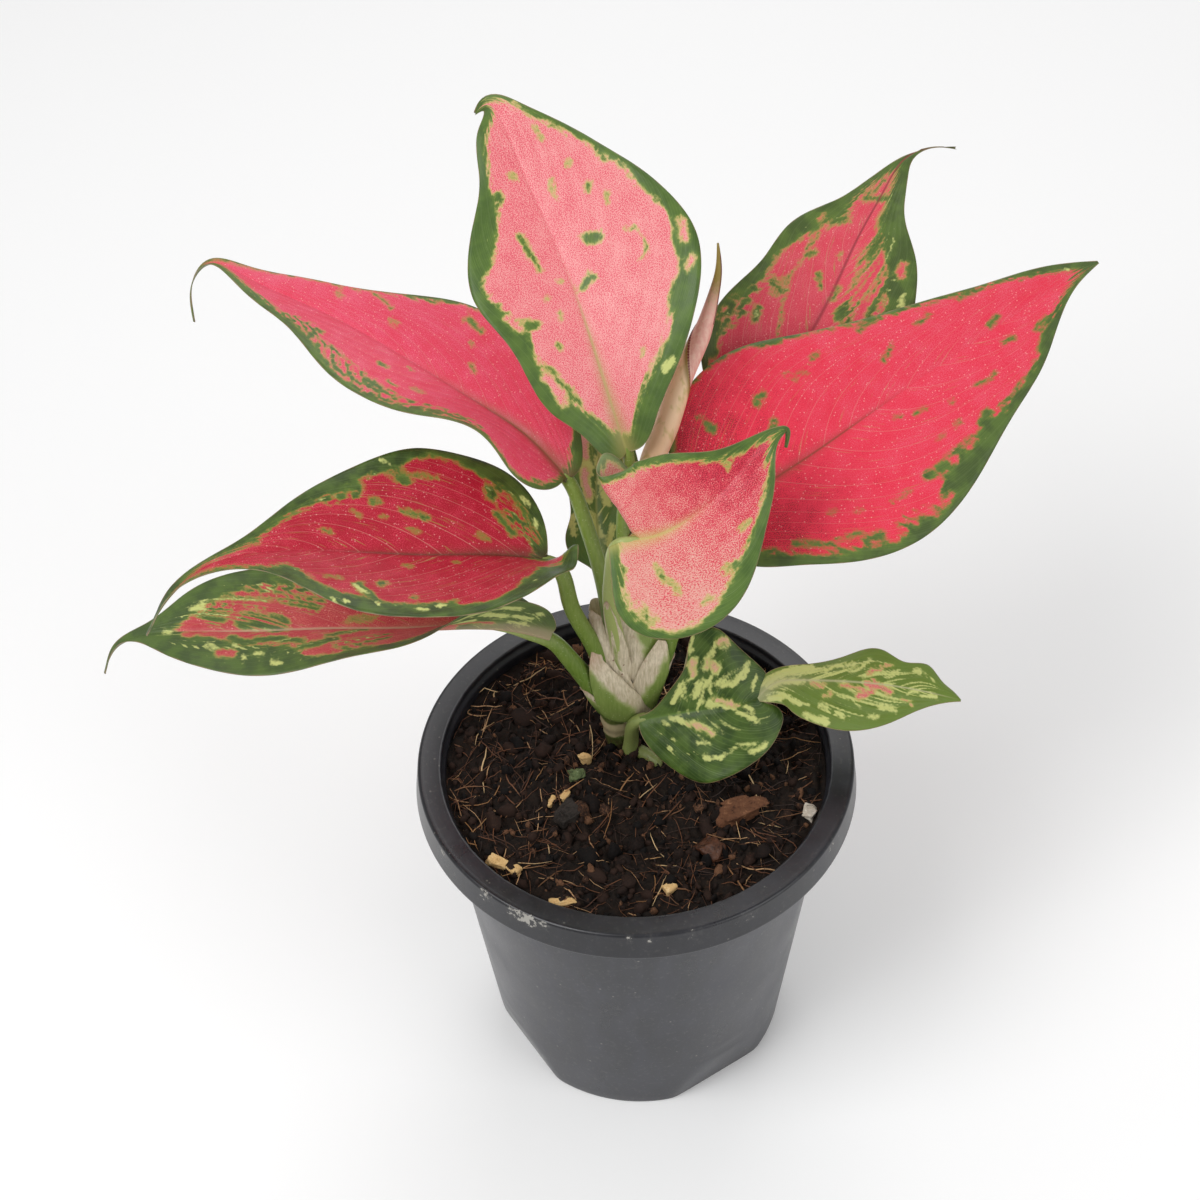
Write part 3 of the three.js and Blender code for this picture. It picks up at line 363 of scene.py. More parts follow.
# Papery margins of the sheaths, each a sheet between its two edges from its tip down to its foot, with
# how far it bulges from the stem, how wide its cream margin is at each edge, and how brown its tip is.
PAPERS = {
    "leaf_upper_left": dict(
        left=[(-13.9, 14, 194.8), (-11.3, 13.5, 193.3), (-8.5, 12.5, 186.9), (-6.3, 12, 178)],
        right=[(-13.4, 14, 199.6), (-11.8, 14, 200.9), (-8.7, 14, 199.3), (-8.2, 13.5, 190.7),
            (-5.3, 12.5, 178)],
        bulge=0.5, cream=(9, 9), brown=0.25),
    "leaf_top": dict(
        left=[(-6.1, 12, 194), (-5.6, 10.5, 184.1), (-3.6, 9.5, 173.2), (-1.1, 8.5, 161)],
        right=[(10.5, 14, 192), (9.3, 12.5, 178.6), (5.2, 10.5, 169.6), (0.8, 9, 161)],
        bulge=3.6, cream=(5, 3.4), brown=0.0),
    "leaf_right": dict(
        left=[(8.6, 9.5, 184.5), (5.9, 8.5, 180.2), (2.4, 7.5, 173.5), (-1.1, 7, 162.5)],
        right=[(11.4, 9, 184.5), (12.2, 8, 175.6), (10.5, 7, 165), (6, 7, 152)],
        bulge=1.6, cream=(4.2, 0), brown=0.15),
    "leaf_middle_left": dict(
        left=[(-13.9, 9, 197.6), (-13.4, 8.5, 191.4), (-11.3, 7.5, 184.6), (-9.5, 7, 177.1),
            (-4.4, 6.5, 166), (-1.1, 6.5, 160)],
        right=[(-13.5, 9.5, 200), (-10.9, 9, 198.4), (-9.1, 8.5, 193.1), (-7, 8, 185.8),
            (-4.8, 7.5, 178.3), (-2, 7, 171.2), (0.4, 7, 164)],
        bulge=0.8, cream=(9, 9), brown=0.7),
    "leaf_lower_left": dict(
        left=[(-13.3, 5.6, 185.5), (-14.3, 3.6, 180.8), (-14.3, 2.2, 171.6), (-12.4, 1.8, 161.4),
            (-9.2, 2.6, 153.4), (-2.4, 4.2, 149.4), (3.8, 8, 147.6)],
        right=[(-12, 6, 185.9), (-9.9, 5.5, 180.4), (-5.7, 5, 173.8), (-1.8, 5, 167.5), (2.2, 6, 161.1),
            (5.6, 8, 152.4)],
        bulge=1.4, cream=(0, 4.6), brown=1.0),
}

# The rolled leaf: its path, its radii at even steps, how its free edge winds, in degrees over its
# whole length, where along it that edge is at the left, and the angle of the second edge near the tip.
SPEAR = dict(path=[(3, 16, 200), (6, 23, 227), (8.1, 29.9, 246.8), (12.3, 34.2, 255.5), (18, 44, 267.6),
                   (24.4, 51, 279.1), (28.9, 57.8, 290.9), (30.4, 60.7, 297.7), (30.3, 64, 305.6)],
             radii=[2, 2.2, 2.6, 3.7, 3.75, 3.65, 3.2, 1.75, 0.35], winding=1090, left_at=0.738, second=318)

# The stem, whose old leaf scars are each a height, a swell and its spread, and an old stalk's stump.
CANE = dict(path=[(-5.5, 13.5, 112), (-5.5, 13.5, 132), (-5.4, 13.5, 146), (-3, 15, 164)],
            radii=[5, 4.8, 6, 4.2], scars=[(141, 0.5, 1.8), (136, 0.25, 0.9)])
OLD_STUB = dict(path=[(0, 9, 129.5), (4.5, 4.5, 131), (9, 0, 130.5)], radii=[2.4, 2.4, 2.1])

# The pot and the soil

# The pot's outer radii at the rim, shoulder and base, its other measures, and the points of its
# profile along each part. A flat is pressed in to its distance from the axis at the foot and runs out
# into the body at its top; its sharpness is that of the turn between it and the round body.
POT = dict(height=136, rim=75, rim_width=8.2, skirt=10.6, flare=1.1, wall=1.3, shoulder=67, base=53)
POT_ROWS = dict(floor=11, body=42, rim=12, inner=26)
POT_ROUND = 360
FLATS = dict(count=4, first=math.radians(-58), distance=49.5, top=23, sharpness=3)

# Patches of crust on the rim: azimuth and half width in degrees, then strength.
CRUST = [(-125, 1.6, 0.5), (-120.5, 3, 0.85), (-115.5, 1.6, 0.6), (-133, 2.5, 0.6), (-150.5, 2.4, 0.5),
         (-93.5, 1.1, 0.6), (-88.5, 0.9, 0.5), (-77.5, 3.6, 0.35), (-63, 2.2, 0.55), (-32, 2.2, 0.5),
         (60, 9, 0.45), (120, 8, 0.4), (25, 5, 0.4), (170, 6, 0.35)]

# The soil's mean height and how far its middle stands above its edge, then how far from the axis
# crumbs and the middles of fibres are scattered, and how far out a fibre may reach.
SOIL_TOP = 130
SOIL_MOUND = 1.6
CRUMB_REACH = 65.5
FIBRE_SPREAD = 64
FIBRE_REACH = 65

# Chips, stones and lumps: place, length, width, height and turn in degrees, then paint.
LUMPS = {
    "wood_chip_1": (-47.6, -39.2, 7.9, 4.2, 3.2, -20, "wood"),
    "wood_chip_2": (-41.6, -42.6, 5.2, 4.2, 3.5, 35, "wood"),
    "wood_chip_3": (-25.8, -56.6, 9.6, 3.8, 2.8, 5, "wood"),
    "wood_chip_4": (-29, -14.2, 5, 3.2, 2.7, 70, "wood"),
    "wood_chip_5": (-24.2, -12.2, 6.2, 3.7, 3, 60, "wood"),
    "wood_chip_6": (-18, 4.4, 5.7, 4.7, 4, 20, "wood"),
    "wood_chip_7": (8.8, -52, 5.7, 4.2, 3.2, 40, "wood"),
    "white_stone": (58.2, -22.9, 6.2, 4.7, 4, 70, "stone"),
    "brown_lump": (24.2, -37.5, 13, 9.2, 6.9, -35, "brown"),
    "bark_piece": (34.7, -21, 18.6, 12.4, 5, 15, "bark"),
    "dark_lump": (-23.6, -20.8, 10.5, 8.7, 5.7, 40, "dark"),
    "mossy_lump": (-20.9, -3.4, 6.7, 5.7, 4.2, 0, "moss"),
}

# How each paint's lumps are shaped: the power of their directions, which squares them off the more the
# lower it is, and the depth of their dents as a share of their size.
LUMP_SHAPES = dict(wood=(0.45, 0.16), stone=(0.75, 0.16), bark=(0.6, 0.24), brown=(0.85, 0.14),
                   dark=(0.4, 0.2), moss=(0.8, 0.25))

# Earthy paints: the material, its dark, middle and light colours, how fine its noise runs, how far it
# leans towards the light colour, its roughness and the height of its relief in metres.
EARTHS = {
    # The soil's very dark colours are partly its own black-brown and partly painted shade from the plant over
    # it.
    "soil": ("coir_soil", "0A0604", "1C130D", "46301F", 1.0, 0.0, 0.85, 0.0006),
    "wood": ("split_wood", "8E6A3C", "CDA972", "E9D0A0", 0.9, 0.08, 0.75, 0.0004),
    "stone": ("pale_stone", "7F6D5C", "BFB4A4", "E3DCD0", 1.1, 0.1, 0.6, 0.0003),
    "bark": ("pine_bark", "3A2115", "63402B", "94694A", 0.8, 0.03, 0.8, 0.0007),
    "brown": ("brown_bark", "2C1A12", "4F3020", "86604A", 0.7, 0.0, 0.4, 0.0005),
    "dark": ("dark_clod", "17130F", "2F2925", "57504A", 0.8, 0.0, 0.7, 0.0006),
    "moss": ("mossy_clod", "2A301C", "5D6B45", "97A27C", 0.9, 0.05, 0.8, 0.0007),
}

# Paints of the loose coir: the material, its dark, middle and light colours, the share that is light,
# its roughness, the strength and the height in metres of its relief, and its gloss.
LOOSE = {
    "crumb": ("coir_crumb", "0B0706", "2A1B14", "6A4A34", 0.12, 0.85, 0.5, 0.0004, 0.25),
    "fibre": ("coir_fibre", "2A1810", "6E4429", "C79E72", 0.16, 0.6, 0.2, 0.0001, 0.5),
    "straw": ("straw", "6E4A2E", "A87A4C", "D8B888", 0.3, 0.6, 0.2, 0.0001, 0.5),
}

# The camera and the stage, in metres. Across and up are where the middle of the pot's mouth lies to
# the right of the camera's line of sight and above it. A light is its place, the side of its square
# and its power.
CAMERA = dict(distance=0.8, elevation=math.radians(46.45), roll=0.036, across=0.01014, up=-0.05415,
              focal_pixels=2330, frame_pixels=1200, sensor=36.0)
STAGE = dict(half_floor=3.0, floor=0.97, roughness=0.9, world=0.46, middle=(0, 0, 0.16))
LIGHTS = {
    "key": ((-0.75, -0.55, 1.35), 0.8, 13),
    "fill": ((1.1, -0.8, 0.9), 1.0, 6),
    "rim": ((0.2, 1.0, 1.2), 0.9, 5),
}


# Numbers

def unit(vectors):
    """Each vector divided by its own length."""
    return vectors / np.linalg.norm(vectors, axis=-1, keepdims=True)


def spline(knots, values, where):
    """Natural cubic spline: third-degree pieces through the values, whose slope and bend run on from
    piece to piece, with no bend at the two ends."""
    knots, values = np.asarray(knots, float), np.asarray(values, float)
    if values.ndim == 1:
        return spline(knots, values[:, None], where)[..., 0]
    count, gap = len(knots), np.diff(knots)
    system, wanted = np.eye(count), np.zeros_like(values)
    inner = np.arange(1, count - 1)
    system[inner, inner - 1] = gap[:-1]
    system[inner, inner] = 2 * (gap[:-1] + gap[1:])
    system[inner, inner + 1] = gap[1:]
    wanted[1:-1] = 6 * np.diff(np.diff(values, axis=0) / gap[:, None], axis=0)
    bend = np.linalg.solve(system, wanted)
    where = np.clip(where, knots[0], knots[-1])
    k = np.clip(np.searchsorted(knots, where) - 1, 0, count - 2)
    before, after, h = (part[..., None] for part in (where - knots[k], knots[k + 1] - where, gap[k]))
    curved = (bend[k] * after ** 3 + bend[k + 1] * before ** 3) / (6 * h)
    at_start, at_end = values[k] / h - bend[k] * h / 6, values[k + 1] / h - bend[k + 1] * h / 6
    return curved + at_start * after + at_end * before


def walked_along(points):
    """How far along the line through the points each of them lies."""
    steps = np.linalg.norm(np.diff(points, axis=0), axis=1)
    return np.concatenate([[0], np.cumsum(steps)])


def even_curve(points, count):
    """A smooth curve through the points, as count samples at even steps along it, and its length."""
    points = np.asarray(points, float)
    knots = walked_along(points)
    dense = spline(knots, points, np.linspace(0, knots[-1], 1200))
    walked = walked_along(dense)
    where = np.linspace(0, walked[-1], count)
    return np.stack([np.interp(where, walked, column) for column in dense.T], 1), walked[-1]


def even_steps(values, where):
    """The value at where, from 0 to 1, in a list whose entries stand at even steps, joined smoothly."""
    knots = np.linspace(0, 1, len(values))
    return spline(knots, values, where) if len(values) > 2 else np.interp(where, knots, values)


def smooth_step(value, low, high):
    """0 at low, 1 at high and 3s^2 - 2s^3 between them, where s is the share of the way; low may be
    the larger."""
    s = np.clip((value - low) / (high - low), 0, 1)
    return s * s * (3 - 2 * s)


def bell(offset, width):
    """A bell curve: 1 at 0, falling off as e to the minus square of the offset over the width."""
    return np.exp(-(offset / width) ** 2)


def lattice(i, j, seed):
    """A repeatable number from 0 to 1 for each whole-number place: the fraction of a large sine."""
    return np.modf(np.abs(np.sin(i * 127.1 + j * 311.7 + seed * 74.7)) * 43758.5453)[0]


def noise(x, y, seed):
    """Value noise from -1 to 1: four corner values, blended with smooth steps."""
    i, j = np.floor(x), np.floor(y)
    u, v = smooth_step(x - i, 0, 1), smooth_step(y - j, 0, 1)
    low = lattice(i, j, seed) * (1 - u) + lattice(i + 1, j, seed) * u
    high = lattice(i, j + 1, seed) * (1 - u) + lattice(i + 1, j + 1, seed) * u
    return 2 * (low * (1 - v) + high * v) - 1


def layered_noise(x, y, layers, seed):
    """The sum of layers of value noise, each given by its strength and its size along x and y."""
    return sum(strength * noise(x / long, y / wide, seed + k)
               for k, (strength, long, wide) in enumerate(layers))


def linear(code):
    """A screen colour such as F09A98 as linear red, green, blue and an alpha of 1."""
    values = [int(code[i:i + 2], 16) / 255 for i in (0, 2, 4)]
    return tuple(v / 12.92 if v < 0.04045 else ((v + 0.055) / 1.055) ** 2.4 for v in values) + (1.0,)


# Meshes

def grid_quads(rows, columns, first=0, wrap=False, turned=False):
    """The quads of a grid of rows by columns points, as four point numbers each; wrap joins the last
    column to the first, and turned makes them face the other way."""
    index = first + np.arange(rows * columns).reshape(rows, columns)
    if wrap:
        index = np.hstack([index, index[:, :1]])
    corners = index[:-1, :-1], index[:-1, 1:], index[1:, 1:], index[1:, :-1]
    quads = np.stack([c.ravel() for c in corners], 1)
    return quads[:, ::-1] if turned else quads


def fan(ring, hub, turned=False):
    """Triangles from each side of a closed ring of points to one point, the hub."""
    following = np.roll(ring, -1)
    pair = (following, ring) if turned else (ring, following)
    return np.stack([*pair, np.full(len(ring), hub)], 1).tolist()


def closed_grid(rows, columns, first_turned=False):
    """The faces of a grid that is wrapped round and closed over its first and its last row by one point
    each, which follow the grid's own points. Of the two fans, only one is turned."""
    first, last = np.arange(columns), (rows - 1) * columns + np.arange(columns)
    fans = fan(first, rows * columns, first_turned) + fan(last, rows * columns + 1, not first_turned)
    return grid_quads(rows, columns, wrap=True, turned=True).tolist() + fans


def closed_sheet(front, back):
    """The points and faces of a closed sheet: its front grid, its back grid and the rim between."""
    rows, columns = front.shape[:2]
    count = rows * columns
    index = np.arange(count).reshape(rows, columns)
    rim = [np.stack([line[1:], line[:-1], line[:-1] + count, line[1:] + count], 1)
           for line in (index[::-1, 0], index[:, -1], index[0], index[-1, ::-1])]
    sides = grid_quads(rows, columns), grid_quads(rows, columns, count, turned=True)
    return np.concatenate([front.reshape(-1, 3), back.reshape(-1, 3)]), np.vstack([*sides, *rim])


def both_sides(numbers, front):
    """Numbers spread over a sheet's front grid, and the same again for its back."""
    return np.tile(np.broadcast_to(numbers, front.shape[:2]).ravel(), 2)


def add_object(name, data):
    """A new object in the scene."""
    made = bpy.data.objects.new(name, data)
    bpy.context.scene.collection.objects.link(made)
    return made


def make_piece(name, points, faces, slot, material, values=None, maps=None, nodes=()):
    """A mesh in metres from points in millimetres, with a number per point under each name in values
    and a UV map per name in maps. It rides on the plant's one body and replaces the CAD nodes named."""
    mesh = bpy.data.meshes.new(name)
    places = (np.asarray(points).reshape(-1, 3) * MM).tolist()
    mesh.from_pydata(places, [], [list(map(int, face)) for face in faces])
    for key, numbers in (values or {}).items():
        layer = mesh.attributes.new(key, "FLOAT", "POINT")
        layer.data.foreach_set("value", np.ravel(numbers).astype(np.float32))
    corner = np.zeros(len(mesh.loops), int)
    mesh.loops.foreach_get("vertex_index", corner)
    for key, pair in (maps or {}).items():
        flat = np.stack([np.ravel(pair[0]), np.ravel(pair[1])], 1)[corner]
        mesh.uv_layers.new(name=key).data.foreach_set("uv", flat.ravel().astype(np.float32))
    mesh.shade_smooth()
    mesh.validate()
    piece = add_object(name, mesh)
    mesh.materials.append(material)
    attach(piece, "root")
    if nodes:
        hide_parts(*nodes)
    return piece


# Blades

def blade_placer(shape):
    """Returns the rib's length and a function from the pressed place to space: the rib's point, plus
    the distance out, turned up by the fold and lowered by a curl that grows with its square, plus each
    bend's push, which falls off as a bell curve of the distance from the bend's own place."""
    rib, length = even_curve(shape["rib"], 400)
    steps = np.linspace(0, 1, 400)
    tangent = unit(np.gradient(rib, axis=0))
    facing = np.stack([np.interp(steps, (0, 1), pair) for pair in zip(*shape["facing"])], 1)
    up = unit(facing - (facing * tangent).sum(1, keepdims=True) * tangent)
    side = np.cross(tangent, up)
    turn = math.radians(shape["roll"])
    across = side * math.cos(turn) + up * math.sin(turn)
    normal = up * math.cos(turn) - side * math.sin(turn)
    left, right = (np.radians(even_steps(shape[key], steps)) for key in ("fold_left", "fold_right"))

    def place(along, out):
        t = np.clip(along / length, 0, 1)

        def read(table):
            return np.stack([np.interp(t, steps, column) for column in table.T], -1)

        fold = np.where(out < 0, np.interp(t, steps, left), np.interp(t, steps, right))[..., None]
        beyond, out = (along - t * length)[..., None], out[..., None]
        lift = np.abs(out) * np.sin(fold) - BLADE_CURL * out ** 2
        point = read(rib) + beyond * read(tangent)
        point = point + out * np.cos(fold) * read(across) + lift * read(normal)
        for a, c, reach, push in shape.get("bends", ()):
            near = np.exp(-((along[..., None] - a) ** 2 + (out - c) ** 2) / reach ** 2)
            point = point + near * push
        return point

    def with_corner(along, out):
        """Past the corner's line, the blade turns back round a roll of the corner's radius by the
        corner's angle, and then runs on straight behind itself."""
        (a0, c0), (da, dc), radius, most = shape["corner"]
        past = np.maximum((along - a0) * da + (out - c0) * dc, 0) * (out < 0)
        foot_a, foot_c = along - past * da, out - past * dc
        foot = place(foot_a, foot_c)
        ahead = unit(place(foot_a + 0.1 * da, foot_c + 0.1 * dc) - foot)
        beside = unit(place(foot_a - 0.1 * dc, foot_c + 0.1 * da) - foot)
        back = np.cross(ahead, beside)
        back *= np.sign((back * (0, 1, -0.5)).sum(-1, keepdims=True))
        angle = np.minimum(past / radius, math.radians(most))[..., None]
        rest = past[..., None] - radius * angle
        turned = radius * (np.sin(angle) * ahead + (1 - np.cos(angle)) * back)
        return foot + turned + rest * (np.cos(angle) * ahead + np.sin(angle) * back)

    return length, with_corner if "corner" in shape else place


def margin_line(shape, key, length, count):
    """One margin on the pressed blade: a smooth curve at even steps, from the base to the tip."""
    points = shape[key]
    return even_curve([(min(0, points[0][0]), 1.5), *points, (length, 0.5)], count)[0]


def capsule_distance(along, out, mark):
    """How far each pressed place is from the straight line between a mark's two ends."""
    a0, c0, a1, c1 = mark[2:]
    da, dc = a1 - a0, c1 - c0
    share = np.clip(((along - a0) * da + (out - c0) * dc) / (da * da + dc * dc + 1e-9), 0, 1)
    return np.hypot(along - a0 - share * da, out - c0 - share * dc)


def margin_distance(along, out, margins):
    """How far each pressed place is from the nearest point of the margins, row by row."""
    line = np.concatenate(margins)
    return np.stack([np.hypot(a[:, None] - line[:, 0], c[:, None] - line[:, 1]).min(1)
                     for a, c in zip(along, out)])


def blade_pattern(shape, along, out, lateral, edge, seed):
    """How far inside the green each place is, in millimetres, and how far inside a pale fleck: the
    green margin's band less the distance to the margin, joined and cut by the marks. Noise makes the
    places wander and frays the band and the marks."""
    a, c = (place + layered_noise(along, out, WANDER, seed + k) for place, k in ((along, 0), (out, 5)))
    bands = [np.interp(a, *zip(*shape[key])) for key in ("band_left", "band_right")]
    green = np.where(out < 0, *bands) + layered_noise(lateral, out, INLETS, seed + 9) - edge
    streaks = layered_noise(lateral, out, STREAKS, seed + 11)
    pale = 2.2 * (noise(lateral / 1.5, out / 2.8, seed + 13) - 1 + 0.5 * shape["fleck"])
    pale = pale - 2 * smooth_step(edge, 5, 1.5)
    torn = 0.45 * noise(lateral, out / 2.4, seed + 14) + 0.3 * noise(along / 0.7, out / 0.7, seed + 15)
    for mark in shape["marks"]:
        kind, radius = mark[:2]
        inside = radius - capsule_distance(a, c, mark) + torn
        if kind == "g":
            green = np.maximum(green, inside)
        elif kind == "h":
            green = np.maximum(green, np.minimum(inside, 0) - 0.1)
        elif kind == "m":
            green = np.maximum(green, np.minimum(inside + 1, 2.2 * streaks - 0.1))
        elif kind == "p":
            green = np.minimum(green, -inside)
        else:
            pale = np.maximum(pale, inside)
    return green, pale


def make_blade(name, shape, material, seed, nodes):
    """A closed thin sheet over the pressed grid. Row t and column u lie |u|^gather of the way from the
    rib's own place, length * t^lag, to the margin's place. The upper side has a groove along the rib
    and low swells between the side veins, the lower side a keel under the rib. Lateral is where along
    the rib the side vein through each place starts, as the veins sweep towards the tip."""
    length, place = blade_placer(shape)
    rows, columns = BLADE_ROWS + 1, 2 * BLADE_HALF + 1
    t = np.linspace(0, 1, rows)[:, None]
    u = np.linspace(-1, 1, columns)[None, :]
    share = np.abs(u) ** COLUMN_GATHER
    left, right = (margin_line(shape, key, length, rows) for key in ("left", "right"))
    edge_along = np.where(u < 0, left[:, :1], right[:, :1])
    edge_out = np.where(u < 0, -left[:, 1:], right[:, 1:])
    station = length * t ** RIB_LAG
    along = station + share * (edge_along - station)
    out = share * edge_out
    lateral = along - length * (0.24 * share + 0.36 * share ** 2) + 2.2 * np.sin(along / 15 + seed)
    edge = margin_distance(along, out, [margin_line(shape, key, length, 320) * (1, side)
                                        for key, side in (("left", -1), ("right", 1))])
    green, pale = blade_pattern(shape, along, out, lateral, edge, seed)

    # The sheet's middle, then what raises or thickens it.
    middle = place(along, out)
    normal = unit(np.cross(np.gradient(middle, axis=1), np.gradient(middle, axis=0)))
    width = 0.5 + 1.1 * (1 - t)
    inland = smooth_step(edge, 0, 4)
    on_rib = bell(out, width)
    swells = np.cos(2 * np.pi * lateral / VEIN_GAP + seed) * np.sin(np.pi * share) * inland
    waves = np.sin(along / 6.3 + seed) * share ** 3 * (1 - inland)
    rise = RELIEF["swell"] * swells + RELIEF["wave"] * waves
    ripple = RELIEF["ripple"] * noise(along / 0.9, out / 0.9, seed + 20) * inland
    half = 0.5 * (EDGE_THICK + (BLADE_THICK - EDGE_THICK) * smooth_step(edge, 0, 1.5))
    groove = RELIEF["groove"] * (1 - 0.6 * t) * on_rib
    keel = (RELIEF["keel"] * (1 - t) ** 1.5 + RELIEF["tip_keel"]) * on_rib
    upper = middle + (rise + half + ripple - groove)[..., None] * normal
    lower = middle + (rise - half - keel)[..., None] * normal

    # What the skin's shader reads.
    at = along / length
    tone = even_steps(shape["tone"], np.clip(at, 0, 1)) - shape.get("lean", 0) * u
    fading = smooth_step(at, shape["rib_end"] + 0.12, shape["rib_end"] - 0.12)
    glow = bell(out, 1.0 + 2.6 * (1 - t) ** 3) * smooth_step(at, 0.5, 0)
    rib_mark = np.maximum(np.exp(-(out / (0.4 * width)) ** 4) * fading, 0.8 * glow)
    painted = dict(green=green, pale=pale, edge=edge, tone=tone, rib=rib_mark)
    values = {key: both_sides(numbers, upper) for key, numbers in painted.items()}
    values["under"] = np.repeat([0.0, shape.get("under", 1.0)], rows * columns)
    maps = {key: [both_sides(numbers, upper) for numbers in pair]
            for key, pair in (("pressed", (along, out)), ("lateral", (lateral, share * np.sign(u))))}
    return make_piece(name, *closed_sheet(upper, lower), "leaf", material, values, maps, nodes)


# Stalks, sheaths and the stem

def tube_grid(path, radii, sides, reference):
    """Circles round each point of one or more paths, square to the path, as path by row by side by
    place. The reference direction fixes where each circle starts, so the tube isn't twisted."""
    tangent = unit(np.gradient(path, axis=-2))
    side = unit(np.cross(tangent, reference))
    other = np.cross(tangent, side)
    angle = np.linspace(0, 2 * np.pi, sides, endpoint=False)[:, None]
    ring = np.cos(angle) * side[..., None, :] + np.sin(angle) * other[..., None, :]
    return path[..., None, :] + radii[..., None, None] * ring


def tube_faces(rows, sides):
    """The faces of a closed tube: its wrapped grid and one flat face at each end."""
    start = np.arange(sides)
    ends = [start[::-1].tolist(), (start + (rows - 1) * sides).tolist()]
    return grid_quads(rows, sides, wrap=True).tolist() + ends


def stalk_path(name):
    """A stalk's path, run on under the foot of its blade so that it becomes the keel of the rib."""
    stalk = STALKS[name]
    place = blade_placer(BLADES.get(name) or BLADES["leaf_low_inner"])[1]
    stations = np.array([0.0, 5.0, 12.0, 22.0])
    rib = place(stations, 0 * stations)
    ahead = place(stations + 0.5, 0 * stations) - rib
    beside = place(stations, 0 * stations + 0.5) - rib
    below = unit(np.cross(ahead, beside))
    depth = stalk["radii"][-1] * np.array([1.0, 1.15, 1.0, 0.6])[:, None]
    return np.concatenate([np.array(stalk["path"][:-1], float), rib + depth * below])


def make_stalk(name, material):
    """A round stalk that thins upwards and runs out along the blade's keel."""
    stalk = STALKS[name]
    rows, sides = 90, 24
    knots = stalk_path(name)
    path = even_curve(knots, rows)[0]
    walked = walked_along(knots)
    given = stalk["radii"]
    foot = even_steps(given, np.linspace(0, 1, len(stalk["path"])))
    wanted = np.concatenate([foot, given[-1] * np.array([0.8, 0.55, 0.2])])
    radii = np.interp(np.linspace(0, 1, rows), walked / walked[-1], wanted)
    points = tube_grid(path, radii, sides, np.array([0.15, -1, 0.1]))
    height = np.repeat(path[:, 2], sides)
    top = path[:, 2].max()
    pale = np.maximum(smooth_step(height, top - 12, top + 2), stalk.get("pale", 0))
    return make_piece(name + "_stalk", points, tube_faces(rows, sides), "leaf", material,
                      dict(cream=0 * height, pale=pale), nodes=(name,))


def make_sheath(name, material, seed):
    """The thin gutter at the foot of a stalk. Each section is an arc about a hub that moves from the
    stem to the stalk as its radius shrinks; its two wings end in a papery margin, ragged near the top."""
    stalk, sheath = STALKS[name], STALKS[name]["sheath"]
    rows, columns, samples = 48, 36, 600
    s = np.linspace(0, 1, rows)[:, None]
    u = np.linspace(-1, 1, columns)[None, :]
    height = np.linspace(sheath["low"], sheath["top"], rows)[:, None]
    curve = even_curve(stalk["path"], samples)[0]
    stalk_radii = even_steps(stalk["radii"], np.linspace(0, 1, samples))
    order = np.argsort(curve[:, 2])
    centre_x, centre_y, own = (np.interp(height, curve[order, 2], column[order])
                               for column in (curve[:, 0], curve[:, 1], stalk_radii))
    cane = np.array(CANE["path"], float)
    stem = [np.interp(sheath["top"], cane[:, 2], cane[:, k]) for k in range(2)]
    away = unit(np.array([centre_x[-1, 0], centre_y[-1, 0]]) - stem)
    radius = own + 0.3 + (sheath["radius"] - own - 0.3) * (1 - s) ** 1.3
    hub_x = centre_x - away[0] * (radius - 0.85 * own)
    hub_y = centre_y - away[1] * (radius - 0.85 * own)
    taper = np.sqrt(np.clip(1 - s ** 3, 0, 1)) * (1 + 0.09 * noise(13 * s, 3, seed) * s)
    wings = [np.radians(foot + (top - foot) * s) * taper + 0.02
             for foot, top in zip(sheath["wings"], sheath["ends"])]
    most = np.where(u < 0, *wings)
    angle = most * u
    flare = 0.5 * smooth_step(np.abs(u), 0.75, 1) * s
    spread = radius + flare + 0.12 * noise(4 * angle, 3 * s, seed + 1)
    z = height + 0.8 * noise(2 * angle, 0 * angle, seed + 2) * s
    way = np.arctan2(away[1], away[0]) + angle

    def shell(extra):
        reach = spread + extra
        return np.stack([hub_x + reach * np.cos(way), hub_y + reach * np.sin(way), z], -1)

    half = 0.45 * (1 - 0.6 * np.abs(u))
    outer = shell(half)
    gap = spread * np.abs(np.abs(angle) - most)
    papery = smooth_step(gap + 0.7 * noise(gap, 9 * s + u, seed + 4), 5.2, 2.2)
    painted = dict(cream=papery, pale=0.6 * smooth_step(gap, 9, 4), tip=smooth_step(s, 0.86, 1) * papery)
    values = {key: both_sides(numbers, outer) for key, numbers in painted.items()}
    return make_piece(name + "_sheath", *closed_sheet(outer, shell(-half)), "leaf", material, values,
                      nodes=(name,))


